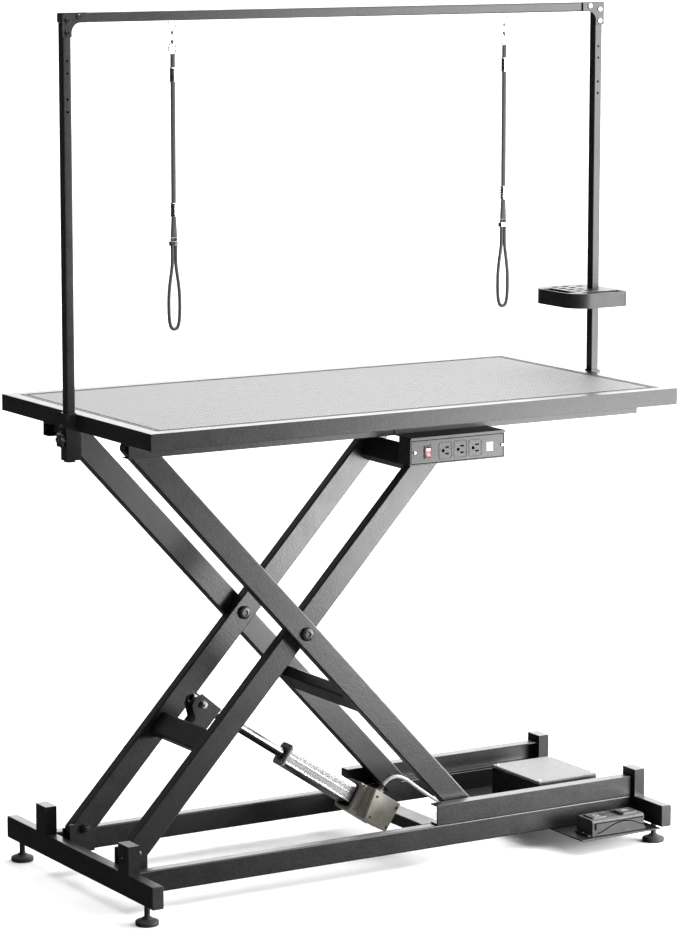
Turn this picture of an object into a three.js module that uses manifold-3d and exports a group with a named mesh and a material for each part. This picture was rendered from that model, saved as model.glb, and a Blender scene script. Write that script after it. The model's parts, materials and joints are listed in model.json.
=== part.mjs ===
// Electric scissor-lift grooming table with an overhead gantry, two nooses and a tool tray.
// Millimetres, +Z up, floor at z = 0, table length along X, front towards -Y.
import * as THREE from 'three';
import { mergeVertices } from 'three/addons/utils/BufferGeometryUtils.js';
import Module from 'manifold-3d';

const wasm = await Module();
wasm.setup();

// Driving dimensions
const GAP = 0.3; // clearance between neighbouring pieces
const WALL = 2; // wall of the square and rectangular steel tube
const TUBE = { thick: 26, deep: 47.5, corner: 3 }; // 1 x 2 inch tube of base and arms
const TABLE = { length: 1270, depth: 664, top: 1008.7, edge: 34.6, lip: 29, skin: 2 };
const BASE = { bottom: 42, top: 89.5, left: -628.5, right: 652.5, front: -308.5, back: 348.5 };
const RAIL_Y = 172; // inner face of the two long rails from the centre line
const POST = { width: 46, inner: 163.5, top: 149.3 };
const FOOT = { stem: 6, disc: 24, disc_high: 11, cone: 4, inside: 22, front: -263, back: 304 };
const TRACK = { start: 119.5, end: 624, wall: 3.3, high: 43.7, wide: 26.5 };
const PIVOT = { x: -569.3, low: 110.6, high: 951.4 }; // arm pivots at the left side
const ROLLER_X = 210.7; // rollers at the right side, raised position
const ARM = { thick: 25.4, deep: 52, overhang: 27, end_corner: 16, outer_face: 159, gap: 3 };
const CHANNEL = { outer: 190, wide: 26, low: 937.4, high: 965.5, wall: 2.5, left: -609.5, right: 633 };
const GANTRY = { x: 645.6, y: -1, tube: 20, top: 1815.4, bottom: 912 };
const CLAMP = { low: 914, high: 1011, wall: 2.6, reach: -625 };
const NOOSE_X = { left: -401, right: 407 };
const ROD_PIN = { along: 343.6, above: 16.7 }; // rod-end pin, from the lower pivot along the inner arm
const REAR_PIN = { x: 84.5, z: 85 }; // actuator's rear pin on the base
const CENTRE = { x: -6.6, y: -8.25 }; // puts the middle of the whole object on x = 0 and y = 0

const armSpan = Math.hypot(ROLLER_X - PIVOT.x, PIVOT.high - PIVOT.low);
const armAngle = Math.atan2(PIVOT.high - PIVOT.low, ROLLER_X - PIVOT.x);
const object = new THREE.Group();
object.position.set(CENTRE.x, CENTRE.y, 0);

// Colours
const BLACK_STEEL = { color: 0x26262a, roughness: 0.5, metalness: 0.3 };
const BRIGHT_STEEL = { color: 0xb8babd, roughness: 0.25, metalness: 1 };
const ALUMINIUM = { color: 0xc9cace, roughness: 0.35, metalness: 1 };
const BLACK_PLASTIC = { color: 0x141416, roughness: 0.55, metalness: 0 };
const TAUPE_CAST = { color: 0x8b877c, roughness: 0.6, metalness: 0 };
const LIGHT_PLASTIC = { color: 0xd9dadb, roughness: 0.5, metalness: 0 };
const MAT_RUBBER = { color: 0xb9bbba, roughness: 0.85, metalness: 0 };
const WOOD = { color: 0xa98a62, roughness: 0.8, metalness: 0 };
const CORD = { color: 0x3a3a3c, roughness: 0.9, metalness: 0 };
const RED_PLASTIC = { color: 0xc23a45, roughness: 0.4, metalness: 0 };

// ---------- general helpers ----------

// Adds one named piece to a group.
function piece(parent, name, geometry, look) {
  const mesh = new THREE.Mesh(geometry, new THREE.MeshStandardMaterial(look));
  mesh.name = name;
  parent.add(mesh);
  return mesh;
}

// A closed geometry as a solid for cutting and joining.
function toSolid(geometry) {
  const bare = geometry.clone();
  bare.deleteAttribute('normal');
  bare.deleteAttribute('uv');
  const merged = mergeVertices(bare, 1e-4);
  return new wasm.Manifold(new wasm.Mesh({
    numProp: 3,
    vertProperties: new Float32Array(merged.attributes.position.array),
    triVerts: new Uint32Array(merged.index.array),
  }));
}

function toGeometry(solid) {
  const mesh = solid.getMesh();
  const geometry = new THREE.BufferGeometry();
  geometry.setAttribute('position', new THREE.BufferAttribute(new Float32Array(mesh.vertProperties), 3));
  geometry.setIndex(new THREE.BufferAttribute(new Uint32Array(mesh.triVerts), 1));
  geometry.computeVertexNormals();
  return geometry;
}

function cut(geometry, ...tools) {
  return toGeometry(tools.reduce((rest, tool) => rest.subtract(toSolid(tool)), toSolid(geometry)));
}

function join(geometry, ...others) {
  return toGeometry(others.reduce((sum, other) => sum.add(toSolid(other)), toSolid(geometry)));
}

function meet(geometry, other) {
  return toGeometry(toSolid(geometry).intersect(toSolid(other)));
}

// A box between two corners.
function block(x0, x1, y0, y1, z0, z1) {
  return new THREE.BoxGeometry(x1 - x0, y1 - y0, z1 - z0)
    .translate((x0 + x1) / 2, (y0 + y1) / 2, (z0 + z1) / 2);
}

// Turns a geometry built along +Z so that it runs along another axis.
function along(axis, geometry) {
  if (axis === 'x') return geometry.rotateY(Math.PI / 2);
  if (axis === 'y') return geometry.rotateX(-Math.PI / 2);
  return geometry;
}

// A round bar centred on the origin of its axis, from one end to the other.
function bar(axis, radius, from, to, sides = 20) {
  const length = to - from;
  const geometry = new THREE.CylinderGeometry(radius, radius, length, sides).rotateX(Math.PI / 2);
  return along(axis, geometry.translate(0, 0, from + length / 2));
}

// A rectangle with rounded corners, centred on the origin.
function roundedRectangle(width, height, radius) {
  const x = width / 2 - radius;
  const y = height / 2 - radius;
  const shape = new THREE.Shape();
  shape.absarc(x, y, radius, 0, Math.PI / 2);
  shape.absarc(-x, y, radius, Math.PI / 2, Math.PI);
  shape.absarc(-x, -y, radius, Math.PI, Math.PI * 1.5);
  shape.absarc(x, -y, radius, Math.PI * 1.5, Math.PI * 2);
  shape.closePath();
  return shape;
}

// A slab standing on z = 0 with its edges rounded above and below.
function softSlab(shape, high, soft) {
  return new THREE.ExtrudeGeometry(shape, {
    depth: high - 2 * soft,
    bevelSize: soft,
    bevelThickness: soft,
    bevelOffset: -soft,
    bevelSegments: 1,
    curveSegments: 3,
  }).translate(0, 0, soft);
}

function extrude(shape, depth, curveSegments = 3) {
  return new THREE.ExtrudeGeometry(shape, { depth, bevelEnabled: false, curveSegments });
}

// A straight rectangular tube, open at both ends, along X from 0 to length.
// across is its size along Y and high its size along Z.
function rectangularTube(length, across, high, wall = WALL, corner = TUBE.corner) {
  const shape = roundedRectangle(across, high, corner);
  shape.holes.push(roundedRectangle(across - 2 * wall, high - 2 * wall, corner - wall * 0.6));
  return extrude(shape, length, 2).rotateX(Math.PI / 2).rotateZ(Math.PI / 2);
}

function tubeAlongX(x0, x1, y, z, across, high) {
  return rectangularTube(x1 - x0, across, high).translate(x0, y, z);
}

function tubeAlongY(y0, y1, x, z, across, high) {
  return rectangularTube(y1 - y0, across, high).rotateZ(Math.PI / 2).translate(x, y0, z);
}

function tubeAlongZ(z0, z1, x, y, size) {
  return rectangularTube(z1 - z0, size, size).rotateY(-Math.PI / 2).translate(x, y, z0);
}

// A solid turned about the Z axis from a closed outline of [radius, height] points.
function turned(points, sides = 20) {
  return new THREE.LatheGeometry(points.map(([r, z]) => new THREE.Vector2(r, z)), sides).rotateX(Math.PI / 2);
}

// A round cord or wire through hand-chosen points.
function cordThrough(points, radius, steps, sides = 8, closed = false) {
  const curve = new THREE.CatmullRomCurve3(points.map((p) => new THREE.Vector3(...p)), closed);
  const section = new THREE.Shape();
  for (let side = 0; side < sides; side += 1) {
    const angle = (2 * Math.PI * side) / sides;
    const x = radius * Math.cos(angle);
    const y = radius * Math.sin(angle);
    if (side === 0) section.moveTo(x, y);
    else section.lineTo(x, y);
  }
  section.closePath();
  return new THREE.ExtrudeGeometry(section, { steps, extrudePath: curve, bevelEnabled: false });
}

// ---------- base ----------

const beamX = {
  left: BASE.left + TUBE.thick / 2,
  right: BASE.right - TUBE.thick / 2,
};
const beamMid = (BASE.bottom + BASE.top) / 2;

// One end beam with its two stop posts and the levelling-foot holes.
function endFrame(side) {
  const x = beamX[side];
  let frame = tubeAlongY(BASE.front, BASE.back, x, beamMid, TUBE.thick, TUBE.deep);
  for (const sign of [-1, 1]) {
    const y = sign * (POST.inner + POST.width / 2);
    const half = TUBE.thick / 2;
    const post = block(x - half, x + half, y - POST.width / 2, y + POST.width / 2, BASE.top - 1, POST.top);
    frame = join(frame, post);
  }
  for (const y of [FOOT.front, FOOT.back]) {
    const hole = bar('z', FOOT.stem + 1, BASE.bottom - WALL, BASE.bottom + 2 * WALL, 16);
    frame = cut(frame, hole.translate(x, y, 0));
  }
  return frame;
}

// A pair of pivot plates welded to the left beam, either side of each inner arm's lower end.
const PIVOT_PLATE = { thick: 4, low: 60, high: 122, outer_high: 108, right: -546, cheek: 1.2 };

function pivotPlates(frame) {
  const { thick, low, high, outer_high: outerHigh, right, cheek } = PIVOT_PLATE;
  const left = BASE.left + TUBE.thick - 1;
  const outerFace = ARM.outer_face - ARM.thick - ARM.gap;
  const innerFace = outerFace - ARM.thick;
  const places = [
    { y: innerFace - cheek - thick / 2, top: high },
    { y: outerFace + cheek + thick / 2, top: outerHigh },
  ];
  const plates = [-1, 1].flatMap((sign) => places.map(({ y, top }) => {
    const middle = sign * y;
    return block(left, right, middle - thick / 2, middle + thick / 2, low, top);
  }));
  return join(frame, ...plates);
}

function addBase() {
  piece(object, 'left_end_frame', pivotPlates(endFrame('left')), BLACK_STEEL);
  piece(object, 'right_end_frame', endFrame('right'), BLACK_STEEL);
  const railLeft = BASE.left + TUBE.thick + GAP;
  const railRight = BASE.right - TUBE.thick - GAP;
  const railMid = RAIL_Y + TUBE.thick / 2;
  for (const [name, sign] of [['front', -1], ['back', 1]]) {
    const rail = tubeAlongX(railLeft, railRight, sign * railMid, beamMid, TUBE.thick, TUBE.deep);
    piece(object, `${name}_base_rail`, rail, BLACK_STEEL);
    piece(object, `${name}_roller_track`, rollerTrack(sign), BLACK_STEEL);
  }
  piece(object, 'mid_cross_beam', midCrossBeam(), BLACK_STEEL);
}

// A C-shaped channel open towards the middle of the table; sign tells front from back.
function channel(sign, outer, wide, low, high, wall, extra) {
  const inner = outer - wide;
  const shape = new THREE.Shape();
  shape.moveTo(sign * outer, low);
  shape.lineTo(sign * inner, low);
  shape.lineTo(sign * inner, low + wall);
  shape.lineTo(sign * (outer - wall), low + wall);
  shape.lineTo(sign * (outer - wall), high - wall);
  shape.lineTo(sign * inner, high - wall);
  shape.lineTo(sign * inner, high);
  if (extra) {
    shape.lineTo(sign * (outer - wall), high);
    shape.lineTo(sign * (outer - wall), extra - wall);
    shape.lineTo(sign * inner, extra - wall);
    shape.lineTo(sign * inner, extra);
    shape.lineTo(sign * outer, extra);
  } else {
    shape.lineTo(sign * outer, high);
  }
  shape.closePath();
  return shape;
}

// Extrudes an outline given in Y and Z along X.
function extrudeAlongX(shape, x0, x1, curveSegments = 4) {
  return extrude(shape, x1 - x0, curveSegments).rotateX(Math.PI / 2).rotateZ(Math.PI / 2).translate(x0, 0, 0);
}

function rollerTrack(sign) {
  const low = BASE.top + GAP;
  const outer = RAIL_Y + TUBE.thick;
  const shape = channel(sign, outer, TRACK.wide, low, low + TRACK.high, TRACK.wall);
  return extrudeAlongX(shape, TRACK.start, TRACK.end);
}

// Flat tube between the rails with the tongue that carries the actuator's rear pin.
const MID_BEAM = { left: 97, right: 145, low: 63.5 };
const TONGUE = { half: 7, left: 72, low: 66, high: 98 };

function midCrossBeam() {
  const x = (MID_BEAM.left + MID_BEAM.right) / 2;
  const z = (MID_BEAM.low + BASE.top) / 2;
  const reach = RAIL_Y - GAP;
  const beam = tubeAlongY(-reach, reach, x, z, MID_BEAM.right - MID_BEAM.left, BASE.top - MID_BEAM.low);
  const tongue = block(TONGUE.left, MID_BEAM.left + 1, -TONGUE.half, TONGUE.half, TONGUE.low, BASE.top);
  const lug = block(TONGUE.left, MID_BEAM.left - 1, -TONGUE.half, TONGUE.half, BASE.top - 1, TONGUE.high);
  return join(beam, tongue, lug);
}

// Levelling foot: flat disc under a low cone, on a stem that goes up into the beam.
function levellingFoot() {
  const { stem, disc, disc_high: high, cone, inside } = FOOT;
  const soft = 1.5;
  return turned([
    [0, 0],
    [disc - soft, 0],
    [disc, soft],
    [disc, high - soft],
    [disc - 2 * soft, high],
    [stem + cone, high + cone - 1],
    [stem, high + cone],
    [stem, BASE.bottom + inside],
    [0, BASE.bottom + inside],
  ]);
}

function addFeet() {
  for (const side of ['left', 'right']) {
    for (const end of ['front', 'back']) {
      const foot = piece(object, `${side}_${end}_levelling_foot`, levellingFoot(), BLACK_PLASTIC);
      foot.position.set(beamX[side], FOOT[end], 0);
    }
  }
}

// ---------- control box and foot pedal ----------

const CONTROL = { x0: 450, x1: 608, half: 93, low: 44, seam: 113, top: 120, corner: 5 };
const CONTROL_PLATE = { left: 392, right: 614, thick: 3 };

// Control box on its mounting plate between the rails, with a separate lid.
function addControlBox() {
  const { x0, x1, half, low, seam, top, corner } = CONTROL;
  const middle = (x0 + x1) / 2;
  const outline = roundedRectangle(x1 - x0, 2 * half, corner);
  const body = extrude(outline, seam - low).translate(middle, 0, low);
  const reach = RAIL_Y - GAP;
  const plate = block(CONTROL_PLATE.left, CONTROL_PLATE.right, -reach, reach, low, low + CONTROL_PLATE.thick);
  const gland = bar('x', CABLE_END.gland_radius, x0 - CABLE_END.gland_length, x0 + 1, 12)
    .translate(0, CABLE_END.y, CABLE_END.z);
  piece(object, 'control_box', join(body, plate, gland), BLACK_PLASTIC);
  const lid = softSlab(outline, top - seam - GAP, 1.5).translate(middle, 0, seam + GAP);
  piece(object, 'control_box_lid', lid, LIGHT_PLASTIC);
}

const SHELF = { left: 417, right: 625, front: -311, low: 38.4, high: 41.6, lap: 4 };
const PEDAL = { left: 452, right: 588, front: -298, back: -239, low: 41.9, high: 77.5, nose: 6, soft: 3 };
const PEDAL_BASE = { wider: 8, inset: 4, high: 3.5 };
const KEY = { wide: 42, deep: 38, high: 80.5, inset: 7, travel: 3, corner: 4, soft: 1.5, room: 0.6 };
const KEY_POCKET_DEPTH = 12;
const DIP = { inset: 50, front: 8, back: 4, deep: 3 };

// Outline in Y and Z of the pedal housing, with a rounded front edge.
function pedalOutline() {
  const { front, back, low, high, nose, soft } = PEDAL;
  const shape = new THREE.Shape();
  shape.moveTo(back, low);
  shape.lineTo(back, high - soft);
  shape.lineTo(back - soft, high);
  shape.absarc(front + nose, high - nose, nose, Math.PI / 2, Math.PI, false);
  shape.lineTo(front, low);
  shape.closePath();
  return shape;
}

// Middle of each key along X: the up key on the left and the down key on the right.
const keyPlaces = {
  up: PEDAL.left + KEY.inset + KEY.wide / 2,
  down: PEDAL.right - KEY.inset - KEY.wide / 2,
};

// Foot pedal: a housing with a dip between two pockets, and a key in each pocket.
function addPedal() {
  const { left, right, front, back, low, high } = PEDAL;
  const shelf = block(SHELF.left, SHELF.right, SHELF.front, -RAIL_Y - SHELF.lap, SHELF.low, SHELF.high);
  piece(object, 'pedal_shelf', shelf, BLACK_STEEL);
  const { wider, inset, high: flange } = PEDAL_BASE;
  const base = block(left - wider, right + wider, front + inset, back - inset, low, low + flange);
  const housing = join(extrudeAlongX(pedalOutline(), left, right), base);
  const dip = block(left + DIP.inset, right - DIP.inset, front + DIP.front, back - DIP.back,
    high - DIP.deep, high + 1);
  const middleY = (front + back) / 2 + 1;
  const pocket = block(-KEY.wide / 2, KEY.wide / 2, middleY - KEY.deep / 2, middleY + KEY.deep / 2,
    high - KEY_POCKET_DEPTH, high + 1);
  const pockets = Object.values(keyPlaces).map((x) => pocket.clone().translate(x, 0, 0));
  piece(object, 'pedal_housing', cut(housing, dip, ...pockets), BLACK_PLASTIC);
  const foot = high - KEY_POCKET_DEPTH + KEY.travel + 1;
  const outline = roundedRectangle(KEY.wide - 2 * KEY.room, KEY.deep - 2 * KEY.room, KEY.corner);
  for (const [name, x] of Object.entries(keyPlaces)) {
    const key = softSlab(outline, KEY.high - foot, KEY.soft);
    piece(object, `pedal_${name}_key`, key, BLACK_PLASTIC).position.set(x, middleY, foot);
  }
}

// ---------- scissor arms ----------

const armFace = {
  outer: ARM.outer_face,
  inner: ARM.outer_face - ARM.thick - ARM.gap,
};
const CROSSING_BOLT = { radius: 8, head: 14.5, head_thick: 7 };

// One arm along its own X axis, with rounded end corners and the hole for the crossing bolt.
function armTube(centreY) {
  const length = armSpan + 2 * ARM.overhang;
  const square = rectangularTube(length, ARM.thick, ARM.deep).translate(-ARM.overhang, 0, 0);
  const side = extrude(roundedRectangle(length, ARM.deep + 1, ARM.end_corner), ARM.thick + 2, 5)
    .rotateX(Math.PI / 2)
    .translate(armSpan / 2, ARM.thick / 2 + 1, 0);
  const tube = meet(square, side);
  const hole = bar('y', CROSSING_BOLT.radius + 0.5, -20, 20, 16).translate(armSpan / 2, 0, 0);
  return cut(tube, hole).translate(0, centreY, 0);
}

const UPPER_ROLLER = { radius: 10.4, width: 19, axle: 5, web_gap: 2 };
const LOWER_ROLLER = { radius: 17, width: 22, axle: 6, web_gap: 1 };

// Wheel with a stub axle that reaches from the arm's outer face into the channel.
function rollerWheel({ radius, width, axle }, axleReach) {
  const soft = 1.5;
  return turned([
    [0, 0],
    [axle, 0],
    [axle, axleReach],
    [radius - soft, axleReach],
    [radius, axleReach + soft],
    [radius, axleReach + width - soft],
    [radius - soft, axleReach + width],
    [0, axleReach + width],
  ]).rotateX(-Math.PI / 2);
}

function addRoller(group, name, sign, size, faceY, webY, x) {
  const reach = webY - size.web_gap - size.width - faceY - GAP;
  const roller = piece(group, name, rollerWheel(size, reach), BLACK_PLASTIC);
  if (sign < 0) roller.rotation.z = Math.PI;
  roller.position.set(x, sign * (faceY + GAP), 0);
}

// Cross tube between a pair of arms, lying flat in the plane of the arms.
function crossTube(reach, x, z) {
  return tubeAlongY(-reach, reach, x, z, CROSS_TUBE.wide, CROSS_TUBE.thick);
}

const CROSS_TUBE = { wide: 50.8, thick: 25.4, lower_at: 273, upper_at: 1031, upper_below: 6 };
const OUTER_TUBE = { along: 362, below: 11 };
const CLEVIS = { thick: 5, half_gap: 13.5, reach: 18, drop: 42, rise: 24 };

// Rod clevis: a pair of plates welded to the upper edge of the lower cross tube.
function clevisPlate(sign) {
  const { thick, half_gap: gap, reach, drop, rise } = CLEVIS;
  const { along: pin, above } = ROD_PIN;
  const tubeEdge = CROSS_TUBE.lower_at + CROSS_TUBE.wide / 2;
  const tubeHalf = CROSS_TUBE.thick / 2 - 1;
  const shape = new THREE.Shape();
  shape.moveTo(tubeEdge - 2, -tubeHalf);
  shape.lineTo(tubeEdge + tubeHalf, above - drop);
  shape.lineTo(pin + reach, above - drop);
  shape.lineTo(pin + reach - 3, above + 0.7 * rise);
  shape.lineTo(pin - 3, above + rise);
  shape.lineTo(pin - reach, above + 0.8 * rise);
  shape.lineTo(tubeEdge + tubeHalf, tubeHalf);
  shape.lineTo(tubeEdge - 2, tubeHalf);
  shape.closePath();
  const middle = sign * (gap + thick / 2);
  return extrude(shape, thick).rotateX(Math.PI / 2).translate(0, middle + thick / 2, 0);
}

function addInnerArms() {
  const group = new THREE.Group();
  group.position.set(PIVOT.x, 0, PIVOT.low);
  group.rotation.y = -armAngle;
  object.add(group);
  const centreY = armFace.inner - ARM.thick / 2;
  const reach = armFace.inner - ARM.thick - GAP;
  for (const [name, sign] of [['front', -1], ['back', 1]]) {
    piece(group, `${name}_inner_arm`, armTube(sign * centreY), BLACK_STEEL);
    const webY = CHANNEL.outer - CHANNEL.wall;
    addRoller(group, `${name}_upper_roller`, sign, UPPER_ROLLER, armFace.inner, webY, armSpan);
    piece(group, `${name}_crossing_bolt`, crossingBolt(sign), BLACK_STEEL);
  }
  const { lower_at: low, upper_at: high, upper_below: below } = CROSS_TUBE;
  const lower = join(crossTube(reach, low, 0), clevisPlate(-1), clevisPlate(1));
  piece(group, 'inner_arms_lower_tube', lower, BLACK_STEEL);
  piece(group, 'inner_arms_upper_tube', crossTube(reach, high, -below), BLACK_STEEL);
}

// Bolt through both arms of one side, with a domed head at each end.
function crossingBolt(sign) {
  const { radius, head, head_thick: thick } = CROSSING_BOLT;
  const inside = armFace.inner - ARM.thick - GAP;
  const outside = armFace.outer + GAP;
  const bolt = turned([
    [0, inside - thick],
    [head * 0.7, inside - thick],
    [head, inside - thick * 0.5],
    [head, inside],
    [radius, inside],
    [radius, outside],
    [head, outside],
    [head, outside + thick * 0.5],
    [head * 0.7, outside + thick],
    [0, outside + thick],
  ], 20).rotateX(-Math.PI / 2);
  if (sign < 0) bolt.rotateZ(Math.PI);
  return bolt.translate(armSpan / 2, 0, 0);
}

function addOuterArms() {
  const group = new THREE.Group();
  group.position.set(ROLLER_X, 0, PIVOT.low);
  group.rotation.y = -(Math.PI - armAngle);
  object.add(group);
  const centreY = armFace.outer - ARM.thick / 2;
  for (const [name, sign] of [['front', -1], ['back', 1]]) {
    piece(group, `${name}_outer_arm`, armTube(sign * centreY), BLACK_STEEL);
    const webY = RAIL_Y + TUBE.thick - TRACK.wall;
    addRoller(group, `${name}_lower_roller`, sign, LOWER_ROLLER, armFace.outer, webY, 0);
  }
  const reach = armFace.outer - ARM.thick - GAP;
  piece(group, 'outer_arms_cross_tube', crossTube(reach, OUTER_TUBE.along, OUTER_TUBE.below), BLACK_STEEL);
}

// ---------- linear actuator ----------

const HOUSING = { left: -80, right: 5, half: 34, front: -68, neck_front: -35, back: 34, soft: 14 };
const FORK = { half: 9.5, deep: 24 };
const GLAND = { x: -12, radius: 8, high: 10 };
const ACTUATOR_TUBE = { left: -273, right: -51, half: 25, wide: 44, soft: 9, bore: 17, lip: 9, room: 0.4 };
const ROD = { radius: 11, beyond: 24, inner: -228, end_bore: 7.5, bore_deep: 30 };

// Outline in X and Z of the gear case, which stands in front of the neck.
function gearCaseOutline() {
  const { right, left, half } = HOUSING;
  const shape = new THREE.Shape();
  shape.moveTo(right, -half);
  shape.lineTo(right, half);
  shape.lineTo(left + 9, half);
  shape.quadraticCurveTo(left + 16, 0, left + 21, -half);
  shape.closePath();
  return shape;
}

function actuatorHousing() {
  const { left, right, half, front, neck_front: neckFront, back, soft } = HOUSING;
  const gearCase = extrude(gearCaseOutline(), neckFront - front + 1, 6)
    .rotateX(Math.PI / 2)
    .translate(0, neckFront + 1, 0);
  const neckShape = roundedRectangle(back - neckFront, 2 * half, soft);
  const neck = extrudeAlongX(neckShape, left, right).translate(0, (back + neckFront) / 2, 0);
  const { wide, half: tubeHalf, soft: tubeSoft, right: tubeEnd, room } = ACTUATOR_TUBE;
  const mouthShape = roundedRectangle(wide + 2 * room, 2 * (tubeHalf + room), tubeSoft);
  const mouth = extrudeAlongX(mouthShape, left - 1, tubeEnd + 1);
  const slot = block(right - FORK.deep, right + 1, -FORK.half, FORK.half, -half - 1, half + 1);
  const gland = bar('z', GLAND.radius, half - 1, half + GLAND.high, 12).translate(GLAND.x, 0, 0);
  return cut(join(gearCase, neck, gland), mouth, slot);
}

// Aluminium profile around the rod, with its bore and the narrower lip that wipes the rod.
function actuatorTube() {
  const { left, right, half, wide, soft, bore, lip } = ACTUATOR_TUBE;
  const shape = roundedRectangle(wide, 2 * half, soft);
  const body = extrudeAlongX(shape, left, right, 4);
  const cavity = bar('x', bore, left + lip, right + 1, 20);
  const mouth = bar('x', ROD.radius + 0.5, left - 1, left + lip + 1, 20);
  return cut(body, cavity, mouth);
}

// Chrome rod; its hollow end reaches a little past the pin.
function actuatorRod(length) {
  const outerEnd = -length - ROD.beyond;
  const rod = bar('x', ROD.radius, outerEnd, ROD.inner, 20);
  return cut(rod, bar('x', ROD.end_bore, outerEnd - 1, outerEnd + ROD.bore_deep, 16));
}

function addActuator() {
  const pinX = PIVOT.x + ROD_PIN.along * Math.cos(armAngle) - ROD_PIN.above * Math.sin(armAngle);
  const pinZ = PIVOT.low + ROD_PIN.along * Math.sin(armAngle) + ROD_PIN.above * Math.cos(armAngle);
  const length = Math.hypot(REAR_PIN.x - pinX, REAR_PIN.z - pinZ);
  const group = new THREE.Group();
  group.position.set(REAR_PIN.x, 0, REAR_PIN.z);
  group.rotation.y = Math.atan2(pinZ - REAR_PIN.z, REAR_PIN.x - pinX);
  object.add(group);
  piece(group, 'actuator_housing', actuatorHousing(), TAUPE_CAST);
  piece(group, 'actuator_tube', actuatorTube(), ALUMINIUM);
  piece(group, 'actuator_rod', actuatorRod(length), BRIGHT_STEEL);
}

// ---------- motor cable ----------

const CABLE_END = { y: -60, z: 66, gland_radius: 8, gland_length: 12 };
const CABLE_RADIUS = 3.75;
const CABLE_ROUTE = [
  [99.2, 0, 128.6],
  [102.5, -0.5, 133.6],
  [109, -3, 143],
  [119, -7, 151.5],
  [134, -12, 155.8],
  [153, -17, 148.5],
  [168, -22, 136.5],
  [184, -27, 123.5],
  [209, -37, 104],
  [230, -42, 91],
  [258, -46, 77],
  [290, -50, 64.5],
  [325, -54, 56],
  [360, -57, 53],
  [390, -59, 55.5],
  [408, -60, 60.5],
  [422, -60, 64.8],
  [430, -60, 66],
  [437.5, -60, 66],
];

function addMotorCable() {
  piece(object, 'motor_cable', cordThrough(CABLE_ROUTE, CABLE_RADIUS, 34), LIGHT_PLASTIC);
}

// ---------- table ----------

const RIM = {
  bottom: TABLE.top - TABLE.edge,
  x: TABLE.length / 2,
  y: TABLE.depth / 2,
};

// Edge profile all round: outer skirt with a top lip.
function tabletopRim() {
  const { x, y, bottom } = RIM;
  const { top, lip, skin } = TABLE;
  const outside = block(-x, x, -y, y, bottom, top);
  const under = block(-x + skin, x - skin, -y + skin, y - skin, bottom - 1, top - skin);
  const opening = block(-x + lip, x - lip, -y + lip, y - lip, top - skin - 1, top + 1);
  return cut(outside, under, opening);
}

const BOARD = { low: 985, high: TABLE.top - TABLE.skin - GAP };
const MAT = { high: TABLE.top - 0.4 };

function addTabletop() {
  const inset = TABLE.skin + GAP;
  const { x, y } = RIM;
  piece(object, 'tabletop_rim', tabletopRim(), BLACK_STEEL);
  const board = block(-x + inset, x - inset, -y + inset, y - inset, BOARD.low, BOARD.high);
  piece(object, 'tabletop_board', board, WOOD);
  const edge = TABLE.lip + GAP;
  const mat = block(-x + edge, x - edge, -y + edge, y - edge, BOARD.high + GAP, MAT.high);
  piece(object, 'tabletop_mat', mat, MAT_RUBBER);
  for (const [name, sign] of [['front', -1], ['back', 1]]) {
    const { outer, wide, low, high, wall, left, right } = CHANNEL;
    const shape = channel(sign, outer, wide, low, high, wall, BOARD.low - GAP);
    piece(object, `${name}_table_channel`, extrudeAlongX(shape, left, right), BLACK_STEEL);
  }
}

// ---------- power box ----------

const POWER = { left: 13, right: 247, front: -250, back: -209, low: 881, high: 939.5, wall: 2, lip: 5 };
const SOCKET = { z: 907, x: [99.7, 136.8, 173.9], pin: 3.4, pin_side: 5.4 };
const SOCKET_SLOT = { left: 0.2, right: 8.6, high: 3, above: 6.8 };
const SWITCH = { x: 56.3, wide: 13, high: 22 };
const USB = { x: 209.8, wide: 17, high: 20 };

// Open-fronted box hung from the front channel by a shelf and an upturned flange.
function powerBox() {
  const { left, right, front, back, low, high, wall } = POWER;
  const shell = block(left, right, front, back, low, high);
  const hollow = block(left + wall, right - wall, front - 1, back - wall, low + wall, high - wall);
  const hang = -CHANNEL.outer - GAP;
  const shelf = block(left, right, back - wall, hang, high - wall, high);
  const flange = block(left, right, hang - wall, hang, high - wall, CHANNEL.high);
  return join(cut(shell, hollow), shelf, flange);
}

// Cutters for one socket: a round hole beside two level slots.
function socketHoles(x, face) {
  const { z, pin, pin_side: side } = SOCKET;
  const { left, right, high, above } = SOCKET_SLOT;
  const front = face - POWER.lip;
  const slot = block(x + left, x + right, front, face + 1, z - high / 2, z + high / 2);
  const slots = [-above, above].map((dz) => slot.clone().translate(0, 0, dz));
  return [bar('y', pin, front, face + 1, 12).translate(x - side, 0, z), ...slots];
}

// Faceplate with a folded top lip, three sockets, the switch window and the USB window.
function powerFaceplate() {
  const { left, right, front, low, high, wall, lip } = POWER;
  const face = front - GAP;
  const plate = block(left, right, face - wall, face, low, high);
  const fold = block(left, right, face - lip, face - wall + 0.5, high - lip, high);
  const windows = [SWITCH, USB].map((place) => block(place.x - place.wide / 2, place.x + place.wide / 2,
    face - lip, face + 1, SOCKET.z - place.high / 2, SOCKET.z + place.high / 2));
  const sockets = SOCKET.x.flatMap((x) => socketHoles(x, face));
  return cut(join(plate, fold), ...sockets, ...windows);
}

// Rocker with two slightly tilted halves, turning about X.
const ROCKER = { room: 0.7, deep: 6, proud: 3.2, dip: 1.2 };

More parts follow.
